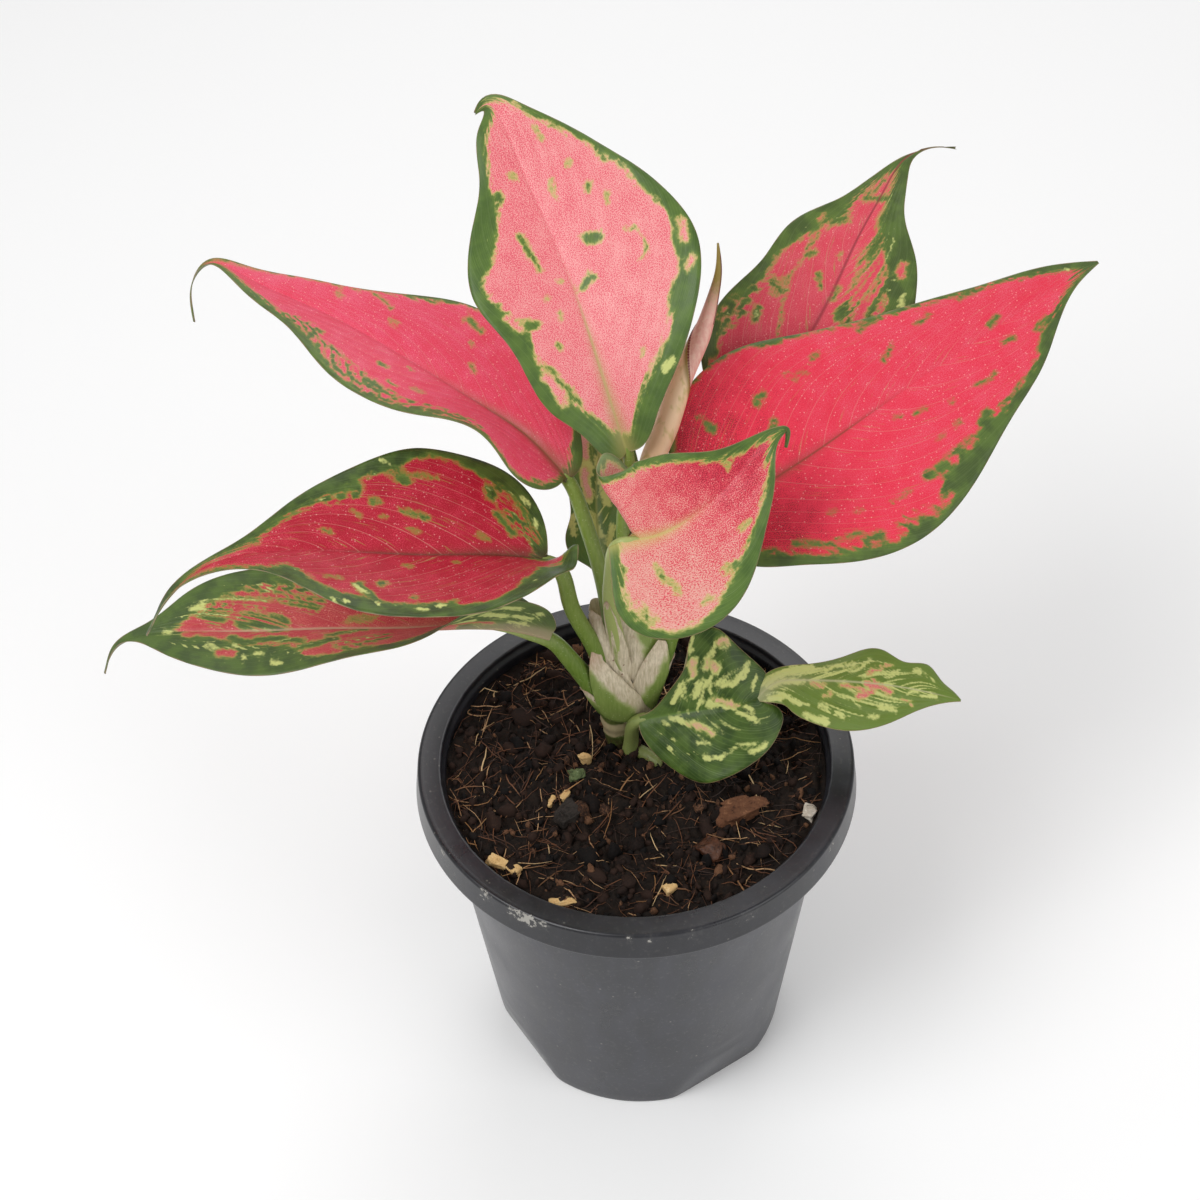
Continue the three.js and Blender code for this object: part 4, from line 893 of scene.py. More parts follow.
def make_paper(name, material, seed):
    """A sheath's papery margin: between its two edges each section is a parabola that bulges away from
    the stem, most half way down and not at all at the tip."""
    sheet = PAPERS[name]
    rows, columns = 56, 26
    left, right = (even_curve(sheet[key], rows)[0] for key in ("left", "right"))
    s, u = np.linspace(0, 1, rows)[:, None], np.linspace(0, 1, columns)[None, :]
    away = unit((0.5 * (left + right) - (-4, 14.5, 0)) * (1, 1, 0))
    width = np.linalg.norm(right - left, axis=1)[:, None]
    ragged = 0.35 * noise(17 * s, 2, seed) * (1 - s)
    right = right + ragged * (1, 0, 0.5)
    place = left[:, None] * (1 - u[..., None]) + right[:, None] * u[..., None]
    depth = sheet["bulge"] * 4 * u * (1 - u) * np.sin(np.pi * np.clip(s, 0.04, 1) ** 0.6 * 0.8)
    folds = 0.14 * noise(9 * u, 3 * s, seed + 1)
    middle = place + (depth + folds)[..., None] * away[:, None]
    normal = unit(np.cross(np.gradient(middle, axis=1), np.gradient(middle, axis=0)))
    half = (0.22 * (1 - 0.6 * np.abs(2 * u - 1) ** 4))[..., None] * normal
    wander = 0.9 * noise(8 * s, 4 * u, seed + 3)
    cream = np.maximum(*(smooth_step(gap * width + wander, band + 2.2, band - 1.6) if band else 0 * wander
                         for gap, band in zip((u, 1 - u), sheet["cream"])))
    brown = sheet["brown"] * smooth_step(s + 0.05 * wander, 0.3, 0.02)
    painted = dict(cream=cream, pale=np.clip(cream + 0.25, 0, 0.6), tip=brown)
    values = {key: both_sides(numbers, middle) for key, numbers in painted.items()}
    return make_piece(name + "_paper", *closed_sheet(middle + half, middle - half), "leaf", material, values,
                      nodes=(name,))


def make_cane(material):
    """The short stem: a tube that swells at each old leaf scar, the upper of which is corky and pale."""
    rows, sides = 80, 48
    path = even_curve(CANE["path"], rows)[0]
    s = np.linspace(0, 1, rows)
    swell = sum(most * bell(path[:, 2] - at, spread) for at, most, spread in CANE["scars"])
    radii = even_steps(CANE["radii"], s) - 0.4 + swell
    angle = np.linspace(0, 2 * np.pi, sides, endpoint=False)
    bumps = 0.16 * noise(3 * np.cos(angle) + 5, 12 * s[:, None] + 3 * np.sin(angle), 3)
    points = tube_grid(path, radii, sides, np.array([0.1, -1, 0.1]))
    points += bumps[..., None] * unit(points - path[:, None])
    height = np.repeat(path[:, 2], sides)
    from_scar = np.abs(height - CANE["scars"][0][0] - 1.2 * np.tile(np.sin(angle + 1), rows))
    values = dict(cream=smooth_step(from_scar, 4.2, 2.6), pale=0 * height,
                  earthy=smooth_step(height, 138, 130))
    return make_piece("cane", points, tube_faces(rows, sides), "stem_skin", material, values, nodes=("cane",))


def make_old_stub(material):
    """The stump of an old leaf stalk, lying towards the front, with a torn end."""
    rows, sides = 30, 24
    path = even_curve(OLD_STUB["path"], rows)[0]
    s = np.linspace(0, 1, rows)
    radii = even_steps(OLD_STUB["radii"], s) * np.sqrt(np.clip(1.02 - s ** 8, 0.02, 1))
    points = tube_grid(path, radii, sides, np.array([0.2, 0.1, 1]))
    points = points + 0.12 * noise(points[..., 0] * 0.9, points[..., 1] * 0.9, 8)[..., None]
    values = dict(cream=np.repeat(smooth_step(s, 0.9, 1) * 0.3, sides), pale=np.full(rows * sides, 0.35),
                  earthy=np.repeat(smooth_step(s, 0.12, 0), sides))
    return make_piece("old_stub", points, tube_faces(rows, sides), "stem_skin", material, values,
                      nodes=("old_stub",))


def make_spear(material):
    """The youngest leaf, still rolled: a tube whose outer turn ends in a free edge that winds round from
    its front right low down to its left side higher up. Angles run from the back round the left."""
    rows, columns = 150, 64
    path = even_curve(SPEAR["path"], rows)[0]
    s = np.linspace(0, 1, rows)
    radii = np.interp(s, np.linspace(0, 1, len(SPEAR["radii"])), SPEAR["radii"])
    rise, thick = s[:, None], radii[:, None]
    angle = np.linspace(0, 360, columns, endpoint=False)[None, :]
    turned = np.mod(angle - 90, 360) + 90
    free_edge = np.clip(180 + SPEAR["winding"] * (SPEAR["left_at"] - rise), 90, 450)
    gap = np.radians(turned - free_edge) * thick
    outer = smooth_step(-gap, -0.15, 0.15)
    from_second = np.radians(np.abs(turned - SPEAR["second"])) * thick
    from_second = from_second + 9 * smooth_step(np.abs(rise - 0.88), 0.09, 0.12)
    points = tube_grid(path, radii, columns, np.array([0.2, -1, 0.2]))
    points += (0.35 * (outer - 0.5) * (thick / 3.5))[..., None] * unit(points - path[:, None])
    values = dict(outer=outer, edge=np.abs(gap), second=from_second, rise=np.repeat(s, columns))
    return make_piece("leaf_rolled", points, tube_faces(rows, columns), "leaf", material, values,
                      nodes=("leaf_rolled",))


# The pot

def body_radius(z):
    """The outer radius of the pot's tapered body at a height."""
    return POT["base"] + (POT["shoulder"] - POT["base"]) * z / (POT["height"] - POT["skirt"])


def arc(centre, radius, start, end, count):
    """Points of a circle in the profile's plane, from one angle to another in degrees."""
    angle = np.radians(np.linspace(start, end, count))
    return [(centre[0] + radius * c, centre[1] + radius * s) for c, s in zip(np.cos(angle), np.sin(angle))]


def pot_profile():
    """The pot's section as radius and height: floor, foot, body, underside of the rim, skirt, rounded
    rim, mouth, inner wall and the floor's upper side. The points on the axis itself are left out."""
    top, wall, skirt_foot = POT["height"], POT["wall"], POT["height"] - POT["skirt"]
    rim, mouth, flared = POT["rim"], POT["rim"] - POT["rim_width"], POT["rim"] + POT["flare"]
    lip, foot = top - wall, body_radius(0)
    line = [(r, 0) for r in np.linspace(0, foot - 1, POT_ROWS["floor"] + 1)[1:]]
    line += arc((foot - 0.9, 0.9), 0.9, -80, 0, 4)
    line += [(body_radius(z), z) for z in np.linspace(2, skirt_foot, POT_ROWS["body"])]
    line += [(mouth + 0.9, lip - 1), (mouth + 1.3, lip), (rim - wall, lip), (flared - wall, skirt_foot + 0.3)]
    line += arc((flared - 0.5 * wall, skirt_foot + 0.25), 0.5 * wall, -170, 0, 7)
    line += [(rim + POT["flare"] * (1 - s), skirt_foot + s * (POT["skirt"] - 1.2))
             for s in np.linspace(0.1, 1, POT_ROWS["rim"])]
    line += arc((rim - 1.2, top - 1.2), 1.2, 10, 90, 7)
    line += [(r, top - 0.15 * np.sin((rim - r) / (rim - mouth) * np.pi))
             for r in np.linspace(rim - 2, mouth + 1, POT_ROWS["rim"])]
    line += arc((mouth + 0.7, top - 0.7), 0.7, 100, 180, 5)
    line += [(mouth - 0.1, top - 2.6), (mouth - 1.0, top - 3.1), (mouth - 1.2, top - 5.2)]
    line += [(body_radius(z) - wall, z) for z in np.linspace(skirt_foot - 1, wall + 0.6, POT_ROWS["inner"])]
    line += [(r, wall) for r in np.linspace(foot - wall - 0.6, 0, POT_ROWS["floor"] + 1)[:-1]]
    return np.array(line)


def crust_amount(azimuth, radius, height):
    """Where hard water has left a crust: along the rim's outer edge, in bell-shaped patches."""
    degrees = np.degrees(azimuth)
    total = sum(strength * bell(np.mod(degrees - at + 180, 360) - 180, half) for at, half, strength in CRUST)
    return total * smooth_step(radius, 73.4, 74.8) * smooth_step(height, 129.5, 133)


def make_pot(material):
    """The lathed profile, pressed in at the foot by the four flats: there the radius is the smaller of
    its own and the flat's, with a soft turn between the two."""
    profile = pot_profile()
    rows, columns = len(profile), POT_ROUND
    azimuth = np.linspace(-np.pi, np.pi, columns, endpoint=False)[None, :]
    radius, height = profile[:, :1], profile[:, 1:]
    inside = np.arange(rows)[:, None] >= rows - POT_ROWS["inner"] - POT_ROWS["floor"]
    share = np.clip(height / FLATS["top"], 0, 1)
    distance = FLATS["distance"] + (body_radius(FLATS["top"]) - FLATS["distance"]) * share
    turn = 2 * np.pi / FLATS["count"]
    off = azimuth - FLATS["first"]
    limit = distance / np.cos(off - turn * np.round(off / turn)) - np.where(inside, POT["wall"], 0)
    sharp = FLATS["sharpness"]
    pressed = -np.logaddexp(-sharp * radius, -sharp * limit) / sharp
    pressed = np.where(height > FLATS["top"] + 4, radius, pressed)
    # Nicks along the mouth's edge, and a body that isn't quite round near its top.
    nicks = 0.35 * np.clip(noise(azimuth * 40, radius, 5) - 0.35, 0, 1) * (np.abs(radius - 66.6) < 0.9)
    uneven = 0.12 * np.sin(3 * azimuth + 1) * smooth_step(height, 60, 130)
    full = pressed + uneven + nicks
    points = np.stack([full * np.cos(azimuth), full * np.sin(azimuth), height + 0 * azimuth], -1)
    points = np.concatenate([points.reshape(-1, 3), [[0, 0, 0], [0, 0, POT["wall"]]]])
    crust = np.append(np.ravel(crust_amount(azimuth, radius, height)), [0, 0])
    return make_piece("pot", points, closed_grid(rows, columns, first_turned=True), "pot_plastic", material,
                      dict(crust=crust), nodes=("pot",))


# The soil and what lies on it

def soil_height(x, y):
    """The height of the soil's top: a low mound with broad shallow waves over it."""
    mound = SOIL_MOUND * (np.cos(np.pi * np.hypot(x, y) / (2 * POT["shoulder"])) - 0.5)
    waves = 0.7 * np.sin(0.21 * x + 1.3) * np.sin(0.19 * y - 0.4)
    return SOIL_TOP + mound + waves + 0.4 * np.sin(0.4 * x - 0.33 * y)


def soil_relief(x, y):
    """Clods and grains on the soil: noise at four sizes, added up. The second size is taken without its
    sign, which folds it into rounded lumps with creases between them."""
    clods = noise(x / 7.5, y / 7.5, 31)
    lumps = noise(x / 3.1 + 0.4 * clods, y / 3.1, 32)
    grains = noise(x / 1.3, y / 1.3, 33)
    return 1.7 * clods + 1.9 * np.abs(lumps) - 0.9 + 0.7 * grains + 0.3 * noise(x / 0.6, y / 0.6, 34)


def soil_surface(x, y):
    """The soil's top with its clods and grains."""
    return soil_height(x, y) + soil_relief(x, y)


def make_soil(material):
    """A polar grid over the soil's top, whose relief dies out at the pot's wall, and a plain wall and
    floor inside the pot."""
    rings, columns, bottom = 130, 420, 1.4
    azimuth = np.linspace(-np.pi, np.pi, columns, endpoint=False)[None, :]
    edge = body_radius(POT["height"] - POT["skirt"]) - POT["wall"] - 0.05
    radius = edge * np.linspace(0, 1, rings + 1)[1:, None] ** 0.8
    x, y = radius * np.cos(azimuth), radius * np.sin(azimuth)
    z = soil_height(x, y) + soil_relief(x, y) * smooth_step(radius, edge + 1, edge - 3)
    levels = np.array([118, 60, 24, bottom])[:, None]
    low = (body_radius(levels) - POT["wall"] - 0.05) * np.array([1, 1, 0.97, 0.9])[:, None]
    wall = np.stack([low * np.cos(azimuth), low * np.sin(azimuth), levels + 0 * azimuth], -1)
    hubs = [[0, 0, soil_surface(0, 0)], [0, 0, bottom]]
    points = np.concatenate([np.stack([x, y, z], -1).reshape(-1, 3), wall.reshape(-1, 3), hubs])
    return make_piece("soil", points, closed_grid(rings + len(levels), columns), "soil", material,
                      nodes=("soil",))


def ball_grid(rings, sides):
    """Directions over a ball as rings by sides, and its closed faces with one point at each pole."""
    polar = np.linspace(0, np.pi, rings + 2)[1:-1, None]
    angle = np.linspace(0, 2 * np.pi, sides, endpoint=False)[None, :]
    across = np.sin(polar)
    grid = np.stack([across * np.cos(angle), across * np.sin(angle), np.cos(polar) + 0 * angle], -1)
    directions = np.concatenate([grid.reshape(-1, 3), [[0, 0, 1], [0, 0, -1]]])
    return directions, closed_grid(rings, sides)


def spun(points, angle):
    """Points turned about the vertical by an angle."""
    x, y, z = np.moveaxis(points, -1, 0)
    return np.stack([x * np.cos(angle) - y * np.sin(angle), x * np.sin(angle) + y * np.cos(angle), z], -1)


def repeated(faces, step, count):
    """The same faces for each of many copies whose points follow each other."""
    return [[number + copy * step for number in face] for copy in range(count) for face in faces]


def drawn_between(draw, limits, count, power):
    """Random sizes between two limits, of which a higher power makes more of them small."""
    return limits[0] + (limits[1] - limits[0]) * draw.random(count) ** power


def make_crumbs(name, material, count, sizes, mesh, seed):
    """Crumbs or clods of coir and bark: balls, each stretched, turned and dented at random."""
    draw = np.random.default_rng(seed)
    directions, faces = ball_grid(*mesh)
    radius = (CRUMB_REACH - sizes[1]) * np.sqrt(draw.random(count))
    azimuth = draw.random(count) * 2 * np.pi
    x, y = radius * np.cos(azimuth), radius * np.sin(azimuth)
    size = drawn_between(draw, sizes, count, 3)
    stretch = size[:, None] * (0.55 + 0.9 * draw.random((count, 3)))
    dent = 1 + 0.6 * (draw.random((count, len(directions))) - 0.5)
    turns = draw.random(count) * np.pi
    ball = directions[None] * dent[..., None] * stretch[:, None, :]
    centre = np.stack([x, y, soil_surface(x, y) + 0.25 * size], -1)
    points = spun(ball, turns[:, None]) + centre[:, None]
    shade = np.repeat(draw.random(count), len(directions))
    return make_piece(name, points, repeated(faces, len(directions), count), "soil", material,
                      dict(shade=shade))


def make_fibres(name, material, count, lengths, widths, seed):
    """Coir fibres or straws: thin three-sided tubes, each bent into an arc and laid over the soil's own
    relief. Their middles rise and their ends tilt, so that they cross over each other."""
    draw = np.random.default_rng(seed)
    rows, sides = 9, 3
    radius = FIBRE_SPREAD * draw.random(count) ** 0.5
    azimuth = draw.random(count) * 2 * np.pi
    heading = draw.random(count) * 2 * np.pi
    length = drawn_between(draw, lengths, count, 1.8)
    bend = draw.normal(0, 0.28, count) * length / 14
    wriggle = draw.normal(0, 0.1, count)
    s = np.linspace(-0.5, 0.5, rows)
    way = heading[:, None] + bend[:, None] * s * 2 + wriggle[:, None] * np.sin(9 * s)
    x = np.cumsum(np.cos(way), 1) * (length / rows)[:, None]
    y = np.cumsum(np.sin(way), 1) * (length / rows)[:, None]
    x += (radius * np.cos(azimuth))[:, None] - x.mean(1, keepdims=True)
    y += (radius * np.sin(azimuth))[:, None] - y.mean(1, keepdims=True)
    held = np.minimum(1, FIBRE_REACH / np.hypot(x, y))
    x, y = x * held, y * held
    ground = soil_surface(x, y)
    tilt = draw.normal(0, 0.2, count)
    rise = 0.25 + 1.3 * draw.random(count)[:, None] ** 2 * np.cos(np.pi * s) + (tilt * length)[:, None] * s
    z = np.maximum(0.35 * ground + 0.65 * ground.mean(1, keepdims=True), ground - 0.2) + rise
    path = np.stack([x, y, z], -1)
    thick = drawn_between(draw, widths, count, 2)[:, None] * (1 - 0.75 * np.abs(2 * s) ** 3)
    points = tube_grid(path, thick, sides, np.array([0.03, 0.05, 1]))
    shade = np.repeat(draw.random(count), rows * sides)
    return make_piece(name, points, repeated(tube_faces(rows, sides), rows * sides, count), "soil",
                      material, dict(shade=shade))


def make_lump(name, spec, material, seed):
    """A chip or stone: a ball squared off by a power of its directions, cut by thirteen random planes,
    brought back to its full size each way, and dented by coarse noise and by fine noise along its
    grain. A piece of bark also narrows towards one end."""
    x, y, long, wide, high, turn, paint = spec
    squareness, depth = LUMP_SHAPES[paint]
    directions, faces = ball_grid(30, 44)
    draw = np.random.default_rng(seed)
    planes = unit(draw.normal(0, 1, (13, 3)))
    cut = (directions @ planes.T / (0.72 + 0.28 * draw.random(13))).max(1)
    shape = np.sign(directions) * np.abs(directions) ** squareness
    shape /= np.maximum(cut, 0.6)[:, None]
    shape /= np.abs(shape).max(0)
    where = directions * 2.2 + seed
    rough = noise(where[:, 0] + where[:, 2], where[:, 1] - where[:, 2], seed)
    fine = noise(directions[:, 0] * 3 + seed, directions[:, 1] * 8 + directions[:, 2] * 8, seed + 1)
    shape = shape * (1 + depth * rough + 0.4 * depth * fine)[:, None]
    if paint == "bark":
        shape[:, 1] *= 1 - 0.55 * (shape[:, 0] + 1) / 2
    shape = spun(shape * (long / 2, wide / 2, high / 2), math.radians(turn))
    points = shape + (x, y, soil_height(x, y) + 0.2 * high + 0.4)
    slot = dict(wood="wood_chip", stone="stone").get(paint, "bark")
    return make_piece(name, points, faces, slot, material, nodes=(name,))


# Shaders

class Wiring:
    """Adds nodes to one shader tree and joins them. A value is a number, a node's output, or a colour
    as numbers or as a screen colour's code."""

    def __init__(self, tree):
        self.tree = tree

    def feed(self, socket, value):
        """Gives a socket its value, by a link or as a constant."""
        if isinstance(value, bpy.types.NodeSocket):
            self.tree.links.new(value, socket)
        else:
            socket.default_value = linear(value) if isinstance(value, str) else value

    def node(self, kind, values=None, **settings):
        """A node with its settings, whose inputs are fed with the values."""
        made = self.tree.nodes.new("ShaderNode" + kind)
        for key, value in settings.items():
            setattr(made, key, value)
        for key, value in (values or {}).items():
            self.feed(made.inputs[key], value)
        return made

    def maths(self, operation, first, second=0.0, third=0.0):
        return self.node("Math", {0: first, 1: second, 2: third}, operation=operation).outputs[0]

    def product(self, first, second):
        return self.maths("MULTIPLY", first, second)

    def plus(self, base, pattern, gain):
        """The base plus the pattern times the gain."""
        return self.maths("MULTIPLY_ADD", pattern, gain, base)

    def swayed(self, base, pattern, gain):
        """The base plus a pattern from 0 to 1, less its middle, times the gain."""
        return self.plus(base, self.maths("SUBTRACT", pattern, 0.5), gain)

    def between(self, value, low, high):
        """0 at low and 1 at high, smoothly; low may be the larger."""
        given = {"Value": value, "From Min": low, "From Max": high}
        return self.node("MapRange", given, interpolation_type="SMOOTHSTEP").outputs[0]

    def mix(self, share, first, second):
        """The first colour at a share of 0, the second at 1."""
        return self.node("Mix", {0: share, 6: first, 7: second}, data_type="RGBA").outputs[2]

    def tint(self, skin, colour, mask, share):
        """The colour laid over the skin where the mask is, at most by the share."""
        return self.mix(self.product(mask, share), skin, colour)

    def noise(self, vector, scale, detail=2.0, roughness=0.5):
        """Noise from about 0.2 to 0.8 round its middle, 0.5."""
        given = {"Vector": vector, "Scale": scale, "Detail": detail, "Roughness": roughness}
        return self.node("TexNoise", given).outputs[0]

    def dots(self, vector, scale, outer, inner):
        """Dots round many scattered points, from nothing at the outer radius to full at the inner one,
        both in cells."""
        cells = self.node("TexVoronoi", {"Vector": vector, "Scale": scale}).outputs["Distance"]
        return self.between(cells, outer, inner)

    def stretch(self, vector, factors):
        return self.node("VectorMath", {0: vector, 1: factors}, operation="MULTIPLY").outputs[0]

    def attribute(self, name):
        return self.node("Attribute", attribute_name=name).outputs["Fac"]

    def uv(self, name):
        return self.node("UVMap", uv_map=name).outputs[0]

    def millimetres(self):
        """The place on the object, in millimetres."""
        return self.stretch(self.node("TexCoord").outputs["Object"], (1000, 1000, 1000))

    def split(self, vector):
        return self.node("SeparateXYZ", {0: vector}).outputs


def shader_group(name, inputs, outputs):
    """A node group with named inputs, each with its start value, and named outputs."""
    tree = bpy.data.node_groups.new(name, "ShaderNodeTree")
    for label, start in inputs.items():
        kind = "NodeSocketColor" if isinstance(start, tuple) else "NodeSocketFloat"
        tree.interface.new_socket(label, in_out="INPUT", socket_type=kind).default_value = start
    for label in outputs:
        kind = "NodeSocketColor" if label == "Color" else "NodeSocketFloat"
        tree.interface.new_socket(label, in_out="OUTPUT", socket_type=kind)
    taken = tree.nodes.new("NodeGroupInput").outputs
    return tree, Wiring(tree), taken, tree.nodes.new("NodeGroupOutput").inputs


def new_material(name, group, given, bump, depth, roughness=0.5, specular=0.5):
    """A material whose Principled shader is fed by one group. Roughness is a number where the group has
    none; bump is the Bump node's strength and depth the height of its relief in metres."""
    material = bpy.data.materials.new(name)
    material.use_nodes = True
    tree = material.node_tree
    tree.nodes.clear()
    wires = Wiring(tree)
    made = wires.node("Group", node_tree=group)
    for key, value in given.items():
        wires.feed(made.inputs[key], value)
    if "Roughness" in made.outputs:
        roughness = made.outputs["Roughness"]
    relief = wires.node("Bump", {"Height": made.outputs["Height"], "Distance": depth, "Strength": bump})
    shader = wires.node("BsdfPrincipled", {"Base Color": made.outputs["Color"], "Roughness": roughness,
                                           "Specular IOR Level": specular, "Normal": relief.outputs[0]})
    wires.node("OutputMaterial", {0: shader.outputs[0]})
    return material


def leaf_skin_group():
    """The skin of a blade, from its attributes: green where the distance inside the green is above 0,
    with a yellow-green halo beside it, flesh from pink to red elsewhere, freckled and veined, and
    painted shade as dark red where the tone is highest."""
    given = dict.fromkeys(("Flesh", "Deep", "Green", "Midrib", "Vein", "Haze"), WHITE)
    given.update(Veins=0.3, Fleck=0.3, Grain=0.8, Halo=0.75)
    tree, w, take, give = shader_group("leaf_skin", given, ("Color", "Roughness", "Height"))
    pressed, lateral = w.uv("pressed"), w.uv("lateral")
    grain = w.noise(pressed, 1.1, 3)
    speck = w.between(w.noise(pressed, 2.9, 2, 0.6), 0.36, 0.64)
    drift = w.noise(pressed, 0.16, 3)
    streak = w.noise(w.stretch(lateral, (1.0, 7, 1)), 1.0, 3, 0.6)
    wisp = w.noise(w.stretch(lateral, (0.6, 5, 1)), 1.0, 4, 0.65)
    along = w.split(lateral)[0]
    vein = w.between(w.maths("PINGPONG", along, VEIN_GAP / 2), 0.34, 0.06)
    minor = w.between(w.maths("PINGPONG", w.maths("ADD", along, 1.3), VEIN_GAP / 10), 0.35, 0.05)

    inside = w.maths("SUBTRACT", w.plus(w.plus(w.attribute("green"), grain, 1.6), streak, 1.2), 1.4)
    green = w.between(inside, -0.35, 0.6)
    halo = w.between(inside, -1.15, 0.1)
    pale = w.between(w.plus(w.maths("SUBTRACT", w.attribute("pale"), 0.8), grain, 1.6), -0.5, 0.6)

    # Flesh: its tone, then red, painted shade as dark red where the tone passes 1.5, veins, pale freckles,
    # green wisps and the halo.
    tone = w.swayed(w.attribute("tone"), drift, 1.6)
    tone = w.swayed(tone, speck, take["Grain"])
    tone = w.swayed(tone, streak, 0.6)
    tone = w.maths("SUBTRACT", tone, w.product(w.between(w.attribute("edge"), 9, 0), 0.25))
    flesh = w.mix(w.between(tone, -0.2, 1.2), take["Flesh"], take["Deep"])
    flesh = w.tint(flesh, "6E0F1A", w.between(tone, 1.5, 2.4), 0.75)
    flesh = w.tint(flesh, take["Vein"], vein, take["Veins"])
    flesh = w.tint(flesh, "F6BDB4", w.dots(pressed, 0.7, 0.2, 0.1), 0.4)
    flesh = w.tint(flesh, "8C9A48", w.between(wisp, 0.57, 0.72), take["Fleck"])
    flesh = w.tint(flesh, take["Haze"], halo, take["Halo"])

    # Green: light and dark drifts, a light border, veins and pale flecks.
    leafy = w.mix(w.between(drift, 0.35, 0.65), take["Green"], w.mix(0.35, take["Green"], "6A8636"))
    leafy = w.tint(leafy, "2C4620", w.between(wisp, 0.42, 0.3), 0.5)
    leafy = w.tint(leafy, "78923A", w.between(inside, 1.5, 0.1), 0.35)
    leafy = w.tint(leafy, "8FA468", vein, 0.2)
    leafy = w.tint(leafy, "86A058", minor, 0.12)
    leafy = w.mix(pale, leafy, "C3C97A")

    # Both, then the midrib, the brown edge and the duller lower side.
    skin = w.mix(green, flesh, leafy)
    skin = w.tint(skin, take["Midrib"], w.attribute("rib"), 0.8)
    skin = w.tint(skin, "A48468", w.between(w.attribute("edge"), 0.34, 0.08), 0.6)
    w.feed(give["Color"], w.tint(skin, "A6A886", w.attribute("under"), 0.3))
    w.feed(give["Roughness"], w.plus(0.3, drift, 0.22))
    height = w.plus(w.product(grain, 0.5), streak, 0.5)
    w.feed(give["Height"], w.maths("SUBTRACT", height, w.product(vein, 0.4)))
    return tree


def stalk_skin_group():
    """The skin of a stalk or sheath: green with white dots and long streaks, papery cream where the
    cream attribute says, brownish pink at a torn tip and earthy at the foot. Low down, painted shade
    darkens the green and turns the papery cream olive."""
    given = dict.fromkeys(("Green", "Pale", "Cream"), WHITE)
    tree, w, take, give = shader_group("stalk_skin", given, ("Color", "Roughness", "Height"))
    place = w.millimetres()
    long = w.noise(w.stretch(place, (1.6, 1.6, 0.16)), 1.0, 3, 0.6)
    blotch = w.noise(place, 0.45, 3)
    grain = w.noise(place, 3.5, 2)
    height = w.split(place)[2]
    young = w.mix(w.between(height, 165, 215), take["Green"], w.mix(0.45, take["Green"], "8FA045"))
    skin = w.mix(w.between(long, 0.35, 0.7), young, w.mix(0.22, young, take["Pale"]))
    # Painted shade: the green darkens below 166 mm, where the leaves above shade the foot of the stalks and
    # the stem.
    skin = w.tint(skin, "2F4212", w.between(height, 166, 148), 0.5)
    skin = w.mix(w.attribute("pale"), skin, take["Pale"])
    skin = w.tint(skin, "BFC69A", w.dots(place, 0.75, 0.2, 0.12), 0.3)
    paper = w.mix(w.between(long, 0.3, 0.75), take["Cream"], "B6A98A")
    paper = w.tint(paper, "B49A80", w.between(blotch, 0.55, 0.75), 0.45)
    # Painted shade: the papery cream turns olive below 176 mm, where the leaves above shade it.
    paper = w.tint(paper, "85783F", w.between(height, 176, 150), 0.3)
    torn = w.swayed(w.attribute("cream"), blotch, 0.8)
    skin = w.mix(w.between(torn, 0.05, 0.95), skin, paper)
    skin = w.tint(skin, "A07058", w.attribute("tip"), 0.55)
    specks = w.product(w.dots(place, 0.3, 0.13, 0.08), w.attribute("cream"))
    skin = w.tint(skin, "6B3A2A", specks, 0.8)
    w.feed(give["Color"], w.tint(skin, "3A2A1C", w.attribute("earthy"), w.between(blotch, 0.3, 0.6)))
    w.feed(give["Roughness"], w.plus(0.34, blotch, 0.2))
    w.feed(give["Height"], w.plus(w.product(grain, 0.3), long, 0.7))
    return tree


def spear_skin_group():
    """The back of the rolled blade: pale pink, with a cream and olive outer turn whose free edge is a
    dark red line, and olive towards the tip with a second dark line."""
    tree, w, _, give = shader_group("spear_skin", {}, ("Color", "Height"))
    place = w.millimetres()
    long = w.noise(w.stretch(place, (1.2, 1.2, 0.2)), 1.0, 3, 0.6)
    broad = w.noise(w.stretch(place, (0.4, 0.4, 0.1)), 1.0, 2, 0.5)
    rise = w.swayed(w.attribute("rise"), long, 0.1)
    inner = w.mix(w.between(long, 0.35, 0.65), "DFA294", "E8BAA8")
    inner = w.mix(w.between(rise, 0.8, 0.92), inner, "84702F")
    turn = w.mix(w.between(broad, 0.5, 0.78), "EFCBA4", "C0AC66")
    turn = w.mix(w.between(rise, 0.45, 0.3), turn, "B8A65E")
    turn = w.mix(w.between(w.attribute("edge"), 2.6, 0.5), turn, "8E7434")
    skin = w.mix(w.attribute("outer"), inner, turn)
    skin = w.mix(w.between(w.attribute("edge"), 0.45, 0.2), skin, "6E1A20")
    w.feed(give["Color"], w.mix(w.between(w.attribute("second"), 0.5, 0.2), skin, "5E2418"))
    w.feed(give["Height"], long)
    return tree


